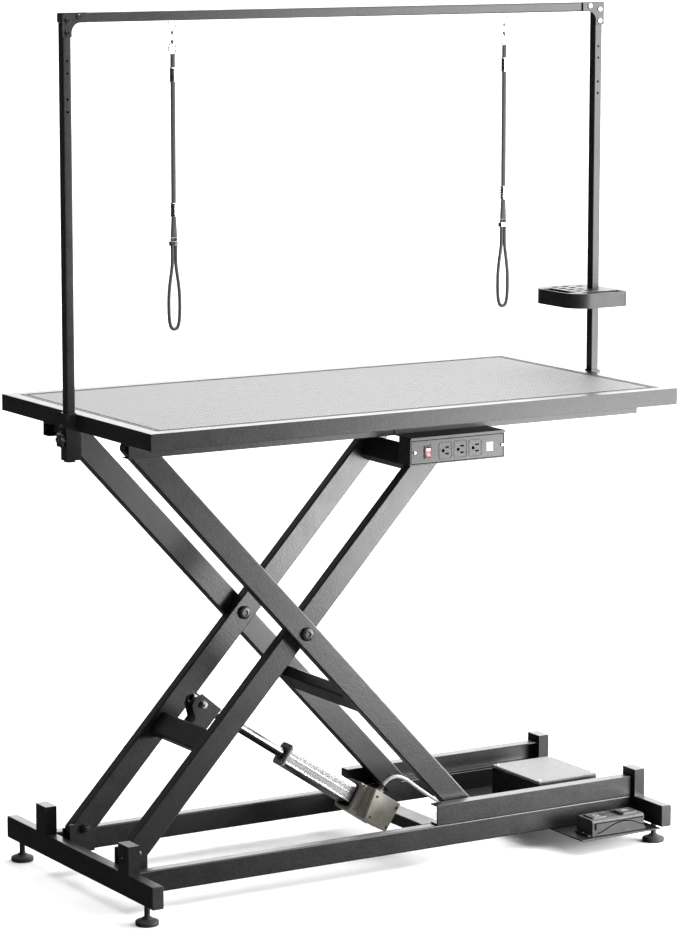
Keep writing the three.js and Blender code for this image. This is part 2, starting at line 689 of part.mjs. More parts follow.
function rocker() {
  const { room, deep, proud, dip } = ROCKER;
  const half = SWITCH.high / 2 - room;
  const shape = new THREE.Shape();
  shape.moveTo(deep, -half + 2);
  shape.lineTo(-proud / 2, -half);
  shape.lineTo(-proud, -half + 0.5);
  shape.lineTo(-dip, 0);
  shape.lineTo(-dip - 1, half - 0.5);
  shape.lineTo(-dip / 2, half);
  shape.lineTo(deep, half - 2);
  shape.closePath();
  const width = SWITCH.wide - 2 * room;
  return extrudeAlongX(shape, -width / 2, width / 2);
}

function addPowerBox() {
  piece(object, 'power_box', powerBox(), BLACK_STEEL);
  piece(object, 'power_faceplate', powerFaceplate(), BLACK_STEEL);
  const button = piece(object, 'power_switch_rocker', rocker(), RED_PLASTIC);
  button.position.set(SWITCH.x, POWER.front - GAP - 1, SOCKET.z);
}

// ---------- upright clamps and knobs ----------

// U-shaped guide on the table's side around an upright; drawn for the left side.
function uprightClamp() {
  const half = GANTRY.tube / 2 + GAP;
  const { low, high, wall, reach } = CLAMP;
  const outer = -GANTRY.x - half - wall;
  const edge = -RIM.x - GAP;
  const back = block(outer, outer + wall, -half - wall, half + wall, low, high);
  const sides = [-1, 1].map((sign) => {
    const y0 = sign < 0 ? -half - wall : half;
    const upper = block(outer, edge, y0, y0 + wall, low, high);
    return join(upper, block(edge - 1, reach, y0, y0 + wall, low, RIM.bottom - 1));
  });
  const tie = block(reach - wall, reach, -half - wall, half + wall, low, RIM.bottom - 1);
  return join(back, ...sides, tie).translate(0, GANTRY.y, 0);
}

const KNOB = { z: 956, radius: 14.2, ripple: 1.9, lobes: 6, thick: 12 };

// Hand knob with six lobes, along -X.
function clampKnob() {
  const steps = KNOB.lobes * 6;
  const outline = Array.from({ length: steps }, (_, step) => {
    const angle = (2 * Math.PI * step) / steps;
    const radius = KNOB.radius + KNOB.ripple * Math.cos(KNOB.lobes * angle);
    return new THREE.Vector2(radius * Math.cos(angle), radius * Math.sin(angle));
  });
  return extrude(new THREE.Shape(outline), KNOB.thick).rotateY(-Math.PI / 2);
}

function addClamps() {
  const outer = GANTRY.x + GANTRY.tube / 2 + GAP + CLAMP.wall + GAP;
  for (const [side, turn] of [['left', 0], ['right', Math.PI]]) {
    const clamp = uprightClamp();
    if (turn) clamp.translate(0, -GANTRY.y, 0).rotateZ(turn).translate(0, GANTRY.y, 0);
    piece(object, `${side}_upright_clamp`, clamp, BLACK_STEEL);
    const knob = piece(object, `${side}_clamp_knob`, clampKnob(), BLACK_PLASTIC);
    knob.rotation.z = turn;
    knob.position.set(turn ? outer : -outer, GANTRY.y, KNOB.z);
  }
}

// ---------- gantry ----------

const BRACKET = { thick: 3.2, proud: 2, above: 0.6, down: 49, across: 56, fillet: 20 };
const UPRIGHT_HOLES = { radius: 2.6, z: [1719.8, 1695, 1643.4, 1618.4] };

// L-shaped corner plate on the front face, drawn for the left corner.
function cornerPlate() {
  const size = GANTRY.tube;
  const { proud, above, down, across, fillet, thick } = BRACKET;
  const left = -GANTRY.x - size / 2 - proud;
  const top = GANTRY.top + above;
  const legRight = left + size + proud;
  const legTop = GANTRY.top - size;
  const shape = new THREE.Shape();
  shape.moveTo(left, top);
  shape.lineTo(left, top - down);
  shape.lineTo(legRight, top - down);
  shape.absarc(legRight + fillet, legTop - fillet, fillet, Math.PI, Math.PI / 2, true);
  shape.lineTo(left + across, legTop);
  shape.lineTo(left + across, top);
  shape.closePath();
  const front = GANTRY.y - size / 2 - GAP;
  return extrude(shape, thick, 6).rotateX(Math.PI / 2).translate(0, front, 0);
}

function upright(x) {
  const { tube, top, bottom, y } = GANTRY;
  const post = tubeAlongZ(bottom, top - tube - GAP, x, y, tube);
  const { radius, z } = UPRIGHT_HOLES;
  const front = y - tube / 2;
  const hole = bar('y', radius, front - WALL, front + 2 * WALL, 10);
  const holes = z.map((height) => hole.clone().translate(x, 0, height));
  return cut(post, ...holes);
}

function addGantry() {
  const { x, y, tube, top } = GANTRY;
  piece(object, 'left_upright', upright(-x), BLACK_STEEL);
  piece(object, 'right_upright', upright(x), BLACK_STEEL);
  const reach = x + tube / 2;
  piece(object, 'crossbar', tubeAlongX(-reach, reach, y, top - tube / 2, tube, tube), BLACK_STEEL);
  piece(object, 'left_corner_bracket', cornerPlate(), BLACK_STEEL);
  const right = cornerPlate().translate(0, -y, 0).rotateZ(Math.PI);
  const front = y - tube / 2 - GAP - BRACKET.thick;
  right.computeBoundingBox();
  right.translate(0, front - right.boundingBox.min.y, 0);
  piece(object, 'right_corner_bracket', right, BLACK_STEEL);
}

const TRAY = { left: 538, right: 684, front: -88, back: 86, low: 1157.6, high: 1190, floor: 3, edge: 4 };
const TRAY_CORNER = { left: 45, right: 20 };
const FRONT_SLOT = { left: 38, right: 12, deep: 28 };
const SIDE_SLOT = { wide: 26, inset: 38 };
const TRAY_HOLE = { radius: 9, x: [50, 76], y: [-28, 2, 32, 62], lone_y: 50 };

// Outline of the tray: large round corners on the left and small ones on the right.
function trayOutline() {
  const { left, right, front, back } = TRAY;
  const { left: big, right: small } = TRAY_CORNER;
  const shape = new THREE.Shape();
  shape.absarc(left + big, front + big, big, Math.PI, Math.PI * 1.5);
  shape.absarc(right - small, front + small, small, Math.PI * 1.5, Math.PI * 2);
  shape.absarc(right - small, back - small, small, 0, Math.PI / 2);
  shape.absarc(left + big, back - big, big, Math.PI / 2, Math.PI);
  shape.closePath();
  return shape;
}

// Tool tray on the right upright: one slot in front, one at the side, and round holes.
function toolTray() {
  const { left, right, front, back, low, high, floor, edge } = TRAY;
  const bottom = low + floor;
  const body = extrude(trayOutline(), high - low, 6).translate(0, 0, low);
  const frontSlot = block(left + FRONT_SLOT.left, right - FRONT_SLOT.right,
    front + edge, front + edge + FRONT_SLOT.deep, bottom, high + 1);
  const sideSlot = block(left + edge, left + edge + SIDE_SLOT.wide,
    front + SIDE_SLOT.inset, back - SIDE_SLOT.inset, bottom, high + 1);
  const half = GANTRY.tube / 2 + 0.5;
  const { x, y } = GANTRY;
  const upright = block(x - half, x + half, y - half, y + half, low - 1, high + 1);
  const places = TRAY_HOLE.x.flatMap((dx) => TRAY_HOLE.y.map((holeY) => [left + dx, holeY]));
  places.push([x, TRAY_HOLE.lone_y]);
  const hole = bar('z', TRAY_HOLE.radius, bottom, high + 1, 14);
  const holes = places.map(([holeX, holeY]) => hole.clone().translate(holeX, holeY, 0));
  return cut(body, frontSlot, sideSlot, upright, ...holes);
}

function addTray() {
  piece(object, 'tool_tray', toolTray(), BLACK_PLASTIC);
}

// ---------- nooses ----------

const NOOSE = { ring_z: 1738, slider_z: 1342.5, split_z: 1291, bottom: 1165 };
const CORD_RADIUS = { single: 5, strand: 3.7, wire: 1.7 };
const SLIDER = { half_wide: 10, half_deep: 5.5, half_high: 4.5, wall: 1.2 };

// Bent wire hook whose two ends meet the underside of the crossbar.
function nooseHook() {
  const under = GANTRY.top - GANTRY.tube;
  return cordThrough([
    [8, 0, under - GAP],
    [8.3, 0, under - 7],
    [7, 0, under - 17],
    [-1, 0, under - 22],
    [-8, 0, under - 17],
    [-9, 0, under - 8],
    [-8, 0, under - GAP],
  ], CORD_RADIUS.wire, 12);
}

// Flat oblong ring that slides on the two strands.
function nooseSlider() {
  const { half_wide: wide, half_deep: deep, half_high: high, wall } = SLIDER;
  const z = NOOSE.slider_z;
  const outside = block(-wide, wide, -deep, deep, z - high, z + high);
  const inside = block(-wide + wall, wide - wall, -deep + wall, deep - wall, z - high - 1, z + high + 1);
  return cut(outside, inside);
}

// The loop goes down one side, round the bottom and up the other, ending under the cord.
function loopPoints() {
  const { slider_z: top, split_z: split, bottom } = NOOSE;
  const side = [
    [4, top + 11],
    [4, split + 20],
    [5.2, split],
    [10, split - 32],
    [12.6, split - 62],
    [12, bottom + 26],
    [8, bottom + 6],
  ];
  const right = side.map(([x, z]) => [x, 0, z]);
  const left = side.map(([x, z]) => [-x, 0, z]).reverse();
  return [...right, [0, 0, bottom + 1], ...left];
}

function addNoose(side) {
  const group = new THREE.Group();
  group.position.set(NOOSE_X[side], GANTRY.y, 0);
  object.add(group);
  const { ring_z: ring, slider_z: slider } = NOOSE;
  const cordEnd = slider + 12;
  const straight = [[0, 0, ring], [0, 0, (ring + slider) / 2], [0, 0, cordEnd]];
  piece(group, `${side}_noose_hook`, nooseHook(), BRIGHT_STEEL);
  piece(group, `${side}_noose_cord`, cordThrough(straight, CORD_RADIUS.single, 6), CORD);
  piece(group, `${side}_noose_slider`, nooseSlider(), BRIGHT_STEEL);
  piece(group, `${side}_noose_loop`, cordThrough(loopPoints(), CORD_RADIUS.strand, 40), CORD);
}

addBase();
addFeet();
addControlBox();
addPedal();
addInnerArms();
addOuterArms();
addActuator();
addMotorCable();
addTabletop();
addPowerBox();
addClamps();
addGantry();
addTray();
addNoose('left');
addNoose('right');

export default object;
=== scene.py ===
import json
import math

import bmesh
import bpy
from mathutils import Matrix, Vector


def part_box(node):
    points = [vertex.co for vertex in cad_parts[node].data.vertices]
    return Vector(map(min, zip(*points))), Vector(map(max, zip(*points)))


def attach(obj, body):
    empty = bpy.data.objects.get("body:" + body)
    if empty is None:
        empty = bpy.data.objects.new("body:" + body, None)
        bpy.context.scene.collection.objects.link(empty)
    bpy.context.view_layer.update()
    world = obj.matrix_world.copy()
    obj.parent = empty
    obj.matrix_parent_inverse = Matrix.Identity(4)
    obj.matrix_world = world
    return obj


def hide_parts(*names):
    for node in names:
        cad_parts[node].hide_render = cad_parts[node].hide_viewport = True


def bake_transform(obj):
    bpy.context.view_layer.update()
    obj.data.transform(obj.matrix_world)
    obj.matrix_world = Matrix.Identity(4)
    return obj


# The looks of an electric scissor-lift grooming table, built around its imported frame.
# Lengths written below are millimetres, but the floor and the lights are given in metres,
# and so is the scene itself.

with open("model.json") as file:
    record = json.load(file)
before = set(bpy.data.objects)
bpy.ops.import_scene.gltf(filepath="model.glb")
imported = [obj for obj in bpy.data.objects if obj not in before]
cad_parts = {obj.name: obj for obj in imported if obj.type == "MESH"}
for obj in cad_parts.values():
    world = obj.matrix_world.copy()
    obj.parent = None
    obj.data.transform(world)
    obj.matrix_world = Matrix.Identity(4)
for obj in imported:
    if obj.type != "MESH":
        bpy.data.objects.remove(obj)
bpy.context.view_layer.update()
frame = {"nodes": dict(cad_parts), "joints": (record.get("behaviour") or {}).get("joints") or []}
NODES = frame["nodes"]
JOINTS = {joint["name"]: joint for joint in frame["joints"]}
MM = 0.001
SIDES = 48  # points round a turned or moulded piece
BACK = (0, 1, 0)
FRONT = (0, -1, 0)
UP = (0, 0, 1)
DOWN = (0, 0, -1)
LEFT = (-1, 0, 0)
RIGHT = (1, 0, 0)


# ---------- places taken from the frame ----------

def box(node):
    """A node's lowest and highest corners in millimetres."""
    low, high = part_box(node)
    return low / MM, high / MM


def joint_place(name):
    return Vector(JOINTS[name]["pos_m"]) / MM


CENTRE_Y = joint_place("lift").y  # the table's own middle line
ARM_PIVOT = joint_place("lift")
TABLE_PIVOT = joint_place("table_pivot")
CROSSING = joint_place("scissor_crossing")
REAR_PIN = joint_place("actuator_swing")
LOWER_ROLLER = Vector((2 * CROSSING.x - TABLE_PIVOT.x, CENTRE_Y, ARM_PIVOT.z))
UPPER_ROLLER = Vector((LOWER_ROLLER.x, CENTRE_Y, TABLE_PIVOT.z))


# ---------- camera, floor and light ----------

CAMERA = {
    "place": (-3933.2, -6498.7, 2072.5),
    "azimuth": -31.03,
    "elevation": 9.27,
    "lens": 140.2,
    "shift": (0.0076, 0.0083),
}


def look_back(azimuth, elevation):
    """The direction from the object towards a camera at that azimuth and elevation."""
    a = math.radians(azimuth)
    e = math.radians(elevation)
    return Vector((math.sin(a) * math.cos(e), -math.cos(a) * math.cos(e), math.sin(e)))


def add_camera():
    data = bpy.data.cameras.new("camera")
    data.lens = CAMERA["lens"]
    data.sensor_width = 36
    data.shift_x, data.shift_y = CAMERA["shift"]
    data.clip_end = 500
    camera = bpy.data.objects.new("camera", data)
    camera.location = Vector(CAMERA["place"]) * MM
    camera.rotation_mode = "QUATERNION"
    back = look_back(CAMERA["azimuth"], CAMERA["elevation"])
    camera.rotation_quaternion = (-back).to_track_quat("-Z", "Y")
    bpy.context.scene.collection.objects.link(camera)
    bpy.context.scene.camera = camera


FLOOR = {"half": 150, "z": -0.0002}  # in metres, a hair under the feet


def add_floor():
    half, z = FLOOR["half"], FLOOR["z"]
    mesh = bpy.data.meshes.new("floor")
    corners = [(-half, -half, z), (half, -half, z), (half, half, z), (-half, half, z)]
    mesh.from_pydata(corners, [], [(0, 1, 2, 3)])
    floor = bpy.data.objects.new("floor", mesh)
    bpy.context.scene.collection.objects.link(floor)
    material = bpy.data.materials.new("floor_paper")
    material.use_nodes = True
    shader = material.node_tree.nodes["Principled BSDF"]
    shader.inputs["Base Color"].default_value = (0.93, 0.93, 0.93, 1)
    shader.inputs["Roughness"].default_value = 0.9
    shader.inputs["Specular IOR Level"].default_value = 0.0
    mesh.materials.append(material)
    floor.visible_glossy = False


def area_light(name, place, target, width, height, power):
    data = bpy.data.lights.new(name, "AREA")
    data.shape = "RECTANGLE"
    data.size = width
    data.size_y = height
    data.energy = power
    light = bpy.data.objects.new(name, data)
    light.location = place
    light.rotation_mode = "QUATERNION"
    light.rotation_quaternion = (Vector(target) - Vector(place)).to_track_quat("-Z", "Y")
    light.visible_camera = False
    bpy.context.scene.collection.objects.link(light)


def add_sky_light(strength):
    """A very wide lamp from above, which lights the whole floor evenly."""
    data = bpy.data.lights.new("ceiling", "SUN")
    data.energy = strength
    data.angle = math.radians(70)
    light = bpy.data.objects.new("ceiling", data)
    light.rotation_euler = (math.radians(8), math.radians(10), 0)
    bpy.context.scene.collection.objects.link(light)


STUDIO = {
    "bright_side": (0.8, 0.45, 0.4),
    "stops": ((0.0, 0.005), (0.62, 0.01), (0.74, 0.06), (0.87, 0.42), (0.92, 0.9), (1.0, 1.0)),
    "strength": 4.0,
}


def add_world():
    """A studio that is bright behind to the right and dark on the left."""
    world = bpy.data.worlds.new("studio")
    world.use_nodes = True
    bpy.context.scene.world = world
    tree = world.node_tree
    tree.nodes.clear()
    output = tree.nodes.new("ShaderNodeOutputWorld")
    background = tree.nodes.new("ShaderNodeBackground")
    background.inputs["Strength"].default_value = STUDIO["strength"]
    tree.links.new(background.outputs[0], output.inputs[0])
    place = tree.nodes.new("ShaderNodeTexCoord")
    towards = tree.nodes.new("ShaderNodeVectorMath")
    towards.operation = "DOT_PRODUCT"
    towards.inputs[1].default_value = STUDIO["bright_side"]
    tree.links.new(place.outputs["Generated"], towards.inputs[0])
    half = tree.nodes.new("ShaderNodeMapRange")
    half.inputs["From Min"].default_value = -1
    half.inputs["From Max"].default_value = 1
    tree.links.new(towards.outputs["Value"], half.inputs["Value"])
    ramp = tree.nodes.new("ShaderNodeValToRGB")
    elements = ramp.color_ramp.elements
    elements.remove(elements[1])
    for index, (position, value) in enumerate(STUDIO["stops"]):
        stop = elements[0] if index == 0 else elements.new(position)
        stop.position = position
        stop.color = (value, value, value, 1)
    tree.links.new(half.outputs["Result"], ramp.inputs["Fac"])
    tree.links.new(ramp.outputs["Color"], background.inputs["Color"])


SKY_STRENGTH = 3.7
PANELS = (  # name, place, target, width and height in metres, and power in watts
    ("front_right_panel", (2.3, -1.95, 1.6), (0.6, 0, 1.15), 2.2, 2.5, 170),
    ("low_front_panel", (1.3, -1.35, 0.3), (0.6, -0.2, 0.12), 1.0, 0.5, 42),
)


def add_lights():
    add_world()
    add_sky_light(SKY_STRENGTH)
    for panel in PANELS:
        area_light(*panel)


# ---------- materials ----------

def new_material(name, color, roughness, metallic=0.0, **sockets):
    material = bpy.data.materials.new(name)
    material.use_nodes = True
    shader = material.node_tree.nodes["Principled BSDF"]
    shader.inputs["Base Color"].default_value = (*color, 1)
    shader.inputs["Roughness"].default_value = roughness
    shader.inputs["Metallic"].default_value = metallic
    for socket, value in sockets.items():
        shader.inputs[socket.replace("_", " ")].default_value = value
    return material


def add_node(material, kind, **settings):
    node = material.node_tree.nodes.new(kind)
    for key, value in settings.items():
        setattr(node, key, value)
    return node


def link(material, out_socket, in_socket):
    material.node_tree.links.new(out_socket, in_socket)


def shader_of(material):
    return material.node_tree.nodes["Principled BSDF"]


def object_place(material, stretch=(1, 1, 1), turn=(0, 0, 0)):
    """The point in the object's own frame, turned and then stretched."""
    coordinates = add_node(material, "ShaderNodeTexCoord")
    turned = add_node(material, "ShaderNodeMapping")
    turned.inputs["Rotation"].default_value = turn
    stretched = add_node(material, "ShaderNodeMapping")
    stretched.inputs["Scale"].default_value = stretch
    link(material, coordinates.outputs["Object"], turned.inputs["Vector"])
    link(material, turned.outputs["Vector"], stretched.inputs["Vector"])
    return stretched.outputs["Vector"]


def noise(material, scale, detail=2.0, stretch=(1, 1, 1), turn=(0, 0, 0)):
    texture = add_node(material, "ShaderNodeTexNoise")
    texture.inputs["Scale"].default_value = scale
    texture.inputs["Detail"].default_value = detail
    link(material, object_place(material, stretch, turn), texture.inputs["Vector"])
    return texture.outputs["Fac"]


WAVES_PER_SCALE = 3.1831  # ridges to the unit length in a wave texture of scale 1


def waves(material, per_metre, turn):
    """Even ridges along one direction, so many to the metre."""
    texture = add_node(material, "ShaderNodeTexWave", wave_type="BANDS", bands_direction="X")
    texture.inputs["Scale"].default_value = per_metre / WAVES_PER_SCALE
    link(material, object_place(material, turn=turn), texture.inputs["Vector"])
    return texture.outputs["Fac"]


def multiply(material, first, second):
    node = add_node(material, "ShaderNodeMath", operation="MULTIPLY")
    link(material, first, node.inputs[0])
    link(material, second, node.inputs[1])
    return node.outputs[0]


def vary_color(material, factor, low, high, start=0.3, stop=0.7):
    ramp = add_node(material, "ShaderNodeValToRGB")
    ramp.color_ramp.elements[0].position = start
    ramp.color_ramp.elements[0].color = (*low, 1)
    ramp.color_ramp.elements[1].position = stop
    ramp.color_ramp.elements[1].color = (*high, 1)
    link(material, factor, ramp.inputs["Fac"])
    link(material, ramp.outputs["Color"], shader_of(material).inputs["Base Color"])


def vary_roughness(material, factor, low, high):
    spread = add_node(material, "ShaderNodeMapRange")
    spread.inputs["To Min"].default_value = low
    spread.inputs["To Max"].default_value = high
    link(material, factor, spread.inputs["Value"])
    link(material, spread.outputs["Result"], shader_of(material).inputs["Roughness"])


def raise_surface(material, *layers):
    """Adds bumps; each layer is (height, strength, depth in millimetres)."""
    previous = None
    for height, strength, depth in layers:
        node = add_node(material, "ShaderNodeBump")
        node.inputs["Strength"].default_value = strength
        node.inputs["Distance"].default_value = depth * MM
        link(material, height, node.inputs["Height"])
        if previous is not None:
            link(material, previous, node.inputs["Normal"])
        previous = node.outputs["Normal"]
    link(material, previous, shader_of(material).inputs["Normal"])


def powder_coat():
    """Semi-gloss black paint with a fine orange-peel grain."""
    material = new_material("powder_coat", (0.008, 0.008, 0.009), 0.33)
    fine = noise(material, 620, 3)
    coarse = noise(material, 230, 2)
    vary_color(material, coarse, (0.004, 0.004, 0.0045), (0.013, 0.013, 0.014))
    vary_roughness(material, noise(material, 26, 3), 0.28, 0.38)
    raise_surface(material, (coarse, 0.4, 0.5), (fine, 0.3, 0.25))
    return material


def plain_material(name, color, roughness, patches, low, high, grain, rough=None, metallic=0.0, **sockets):
    """One colour that wanders from low to high in patches, under a fine grain. Patches are a
    noise's scale and detail; grain adds a strength and a depth; rough adds two roughnesses."""
    material = new_material(name, color, roughness, metallic, **sockets)
    vary_color(material, noise(material, *patches), low, high)
    if rough:
        scale, detail, smoothest, roughest = rough
        vary_roughness(material, noise(material, scale, detail), smoothest, roughest)
    scale, detail, strength, depth = grain
    raise_surface(material, (noise(material, scale, detail), strength, depth))
    return material


def grey(value):
    return (value, value, value)


def moulded_black():
    return plain_material("moulded_black_plastic", (0.012, 0.012, 0.013), 0.45, (60, 3),
                          (0.009, 0.009, 0.01), (0.017, 0.017, 0.018),
                          (900, 2, 0.22, 0.15), (40, 2, 0.38, 0.52))


def pedal_plastic():
    """Charcoal moulding, a little lighter than the other plastic parts."""
    return plain_material("charcoal_moulding", (0.05, 0.05, 0.051), 0.5, (70, 3), (0.014, 0.014, 0.0145),
                          (0.022, 0.022, 0.0225), (800, 2, 0.25, 0.15), (50, 2, 0.44, 0.58))


def rubber():
    return plain_material("black_rubber", grey(0.013), 0.7, (90, 4), grey(0.009), grey(0.02),
                          (500, 3, 0.3, 0.2))


def speckled_lid():
    return plain_material("speckled_grey_lid", (0.6, 0.6, 0.59), 0.5, (380, 4), grey(0.1),
                          (0.2, 0.2, 0.198), (520, 2, 0.2, 0.2))


def gear_case():
    """Warm grey enamel over a casting."""
    return plain_material("taupe_enamel", (0.3, 0.285, 0.245), 0.42, (45, 4), (0.19, 0.181, 0.152),
                          (0.27, 0.258, 0.222), (330, 2, 0.18, 0.25), (30, 2, 0.34, 0.5))


def bright_plate():
    """Nickel or chrome plating with faint handling marks."""
    return plain_material("bright_plate", (0.82, 0.82, 0.83), 0.1, (130, 5), (0.76, 0.76, 0.77),
                          (0.88, 0.88, 0.89), (700, 2, 0.04, 0.05), (130, 5, 0.06, 0.2), 1.0)


def ground_steel():
    """Satin chrome of the actuator's rod."""
    return plain_material("ground_steel", (0.24, 0.24, 0.245), 0.28, (160, 4), (0.21, 0.21, 0.215),
                          (0.27, 0.27, 0.275), (900, 2, 0.006, 0.01), (160, 4, 0.24, 0.32), 1.0)


def screw_steel():
    return plain_material("zinc_screw", grey(0.7), 0.3, (900, 3), grey(0.58), grey(0.78),
                          (1500, 2, 0.1, 0.05), metallic=1.0)


def recess():
    """Painted shade: a near-black, matt colour laid into seams, slots and holes where their shade falls.
    """
    return plain_material("painted_recess_shade", grey(0.003), 0.95, (200, 2), grey(0.002), grey(0.005),
                          (400, 2, 0.2, 0.1), Specular_IOR_Level=0.05)


def cable_jacket():
    return plain_material("grey_cable_jacket", (0.72, 0.72, 0.71), 0.42, (70, 4), (0.36, 0.36, 0.356),
                          (0.47, 0.47, 0.465), (420, 2, 0.15, 0.15))


def white_plastic():
    return plain_material("white_plastic", (0.8, 0.8, 0.79), 0.35, (200, 3), (0.38, 0.38, 0.375),
                          (0.5, 0.5, 0.49), (900, 2, 0.1, 0.08))


def red_plastic():
    return plain_material("red_rocker", (0.45, 0.02, 0.035), 0.22, (150, 3), (0.15, 0.006, 0.012),
                          (0.24, 0.014, 0.024), (700, 2, 0.08, 0.06), Coat_Weight=0.4)


def nylon_wheel():
    return plain_material("dark_nylon", (0.035, 0.035, 0.037), 0.4, (80, 4), (0.022, 0.022, 0.024),
                          (0.05, 0.05, 0.053), (600, 2, 0.15, 0.12))


def drawn_aluminium(turn):
    """Satin extrusion with fine lines along its length."""
    material = new_material("drawn_aluminium", (0.78, 0.78, 0.79), 0.24, 1.0)
    lines = noise(material, 300, 3, (0.002, 1, 1), turn)
    vary_color(material, lines, (0.58, 0.58, 0.59), (0.72, 0.72, 0.73))
    vary_roughness(material, lines, 0.2, 0.3)
    raise_surface(material, (lines, 0.006, 0.03))
    return material


MAT_DOTS_PER_METRE = 135


def table_mat():
    """Grey non-slip mat with a close pattern of small raised dots in diagonal rows."""
    material = new_material("dotted_mat", grey(0.3), 0.42)
    quarter = math.radians(45)
    across = waves(material, MAT_DOTS_PER_METRE, (0, 0, quarter))
    along = waves(material, MAT_DOTS_PER_METRE, (0, 0, -quarter))
    dots = multiply(material, across, along)
    vary_color(material, dots, grey(0.18), grey(0.015), 0.2, 0.55)
    vary_roughness(material, noise(material, 260, 3), 0.5, 0.62)
    raise_surface(material, (dots, 0.6, 0.8), (noise(material, 800, 2), 0.15, 0.1))
    return material


def laminated_board():
    """Dark film-faced plywood, seen from underneath."""
    material = new_material("film_faced_board", (0.05, 0.036, 0.028), 0.55)
    grain = noise(material, 30, 6, (0.08, 1, 1))
    vary_color(material, grain, (0.028, 0.02, 0.016), (0.075, 0.055, 0.042))
    raise_surface(material, (grain, 0.15, 0.4), (noise(material, 600, 2), 0.1, 0.1))
    return material


def webbing():
    """Woven nylon strap: fine ribs along and across."""
    material = new_material("woven_nylon", (0.09, 0.09, 0.092), 0.75)
    across = waves(material, 640, (0, math.radians(90), 0))
    slant = waves(material, 520, (0, math.radians(52), 0))
    weave = multiply(material, across, slant)
    vary_color(material, weave, (0.02, 0.02, 0.021), (0.075, 0.075, 0.077), 0.1, 0.8)
    raise_surface(material, (weave, 0.6, 0.35), (noise(material, 2200, 3), 0.3, 0.1))
    shader_of(material).inputs["Sheen Weight"].default_value = 0.15
    return material


STROKE = Vector(JOINTS["actuator_stroke"]["axis"])
ACTUATOR_TILT = math.atan2(STROKE.z, -STROKE.x)
LOOKS = {  # each look's material and its slot
    "coat": (powder_coat(), "powder_coat"),
    "plastic": (moulded_black(), "black_plastic"),
    "pedal": (pedal_plastic(), "black_plastic"),
    "rubber": (rubber(), "rubber"),
    # recess: painted shade for seams, slots and holes
    "recess": (recess(), "rubber"),
    "lid": (speckled_lid(), "light_plastic"),
    "case": (gear_case(), "housing_cast"),
    "aluminium": (drawn_aluminium((0, -ACTUATOR_TILT, 0)), "aluminium"),
    "plate": (bright_plate(), "chrome"),
    "ground": (ground_steel(), "chrome"),
    "screw": (screw_steel(), "chrome"),
    "mat": (table_mat(), "mat"),
    "board": (laminated_board(), "board"),
    "strap": (webbing(), "cord"),
    "cable": (cable_jacket(), "cable"),
    "white": (white_plastic(), "light_plastic"),
    "red": (red_plastic(), "red_rocker"),
    "wheel": (nylon_wheel(), "roller_nylon"),
}


def set_look(piece, look):
    material, slot = LOOKS[look]
    piece.data.materials.append(material)


# ---------- outlines: lists of SIDES points, counter-clockwise ----------

def radial(radius_at):
    angles = [2 * math.pi * (i + 0.5) / SIDES for i in range(SIDES)]
    return [(radius_at(a) * math.cos(a), radius_at(a) * math.sin(a)) for a in angles]


def circle(radius):
    return radial(lambda angle: radius)


def hexagon(across_flats):
    sector = math.pi / 3
    return radial(lambda angle: across_flats / 2 / math.cos(angle % sector - sector / 2))


def star(radius, depth, lobes):
    return radial(lambda angle: radius - depth * (0.5 - 0.5 * math.cos(lobes * angle)))


def rounded(width, height, radius):
    """A rectangle with round corners, centred on the origin."""
    points = []
    per_corner = SIDES // 4
    corners = ((1, 1, 0), (-1, 1, 1), (-1, -1, 2), (1, -1, 3))
    for sign_x, sign_y, quarter in corners:
        for step in range(per_corner):
            angle = math.pi / 2 * (quarter + step / (per_corner - 1))
            x = sign_x * (width / 2 - radius) + radius * math.cos(angle)
            y = sign_y * (height / 2 - radius) + radius * math.sin(angle)
            points.append((x, y))
    return points


# ---------- building pieces ----------

def facing(place, direction, up=UP):
    """A frame at place whose own +Z points along direction."""
    z = Vector(direction).normalized()
    hint = Vector(up)
    if abs(z.dot(hint)) > 0.99:
        hint = Vector(BACK)
    x = hint.cross(z).normalized()
    y = z.cross(x)
    matrix = Matrix((x, y, z)).transposed().to_4x4()
    matrix.translation = Vector(place)
    return matrix


def loft(bm, loops, closed=False):
    """Skins a list of equal rings of points, with flat ends unless it closes on itself."""
    rows = [[bm.verts.new(point) for point in loop] for loop in loops]
    pairs = list(zip(rows, rows[1:]))
    if closed:
        pairs.append((rows[-1], rows[0]))
    else:
        bm.faces.new(list(reversed(rows[0])))
        bm.faces.new(rows[-1])
    for lower, upper in pairs:
        for i in range(len(lower)):
            j = (i + 1) % len(lower)
            bm.faces.new((lower[i], lower[j], upper[j], upper[i]))


def stack(bm, matrix, layers, closed=False):
    """Skins outlines lying at heights along the matrix's own +Z, in millimetres."""
    loops = []
    for outline, height in layers:
        loops.append([matrix @ Vector((x, y, height)) for x, y in outline])
    loft(bm, loops, closed)


def slab(bm, matrix, width, height, radius, low, high, soft=0.6):
    """A rounded rectangular slab with eased edges."""
    inner = rounded(width - 2 * soft, height - 2 * soft, max(radius - soft, 0.3))
    outer = rounded(width, height, radius)
    stack(bm, matrix, [
        (inner, low),
        (outer, low + soft),
        (outer, high - soft),
        (inner, high),
    ])


def frame_ring(bm, matrix, outer, inner, low, high):
    """A flat ring between two outlines."""
    stack(bm, matrix, [(outer, low), (outer, high), (inner, high), (inner, low)], closed=True)


def disc(bm, matrix, radius, low, high, soft=0.6):
    stack(bm, matrix, [
        (circle(radius - soft), low),
        (circle(radius), low + soft),
        (circle(radius), high - soft),
        (circle(radius - soft), high),
    ])


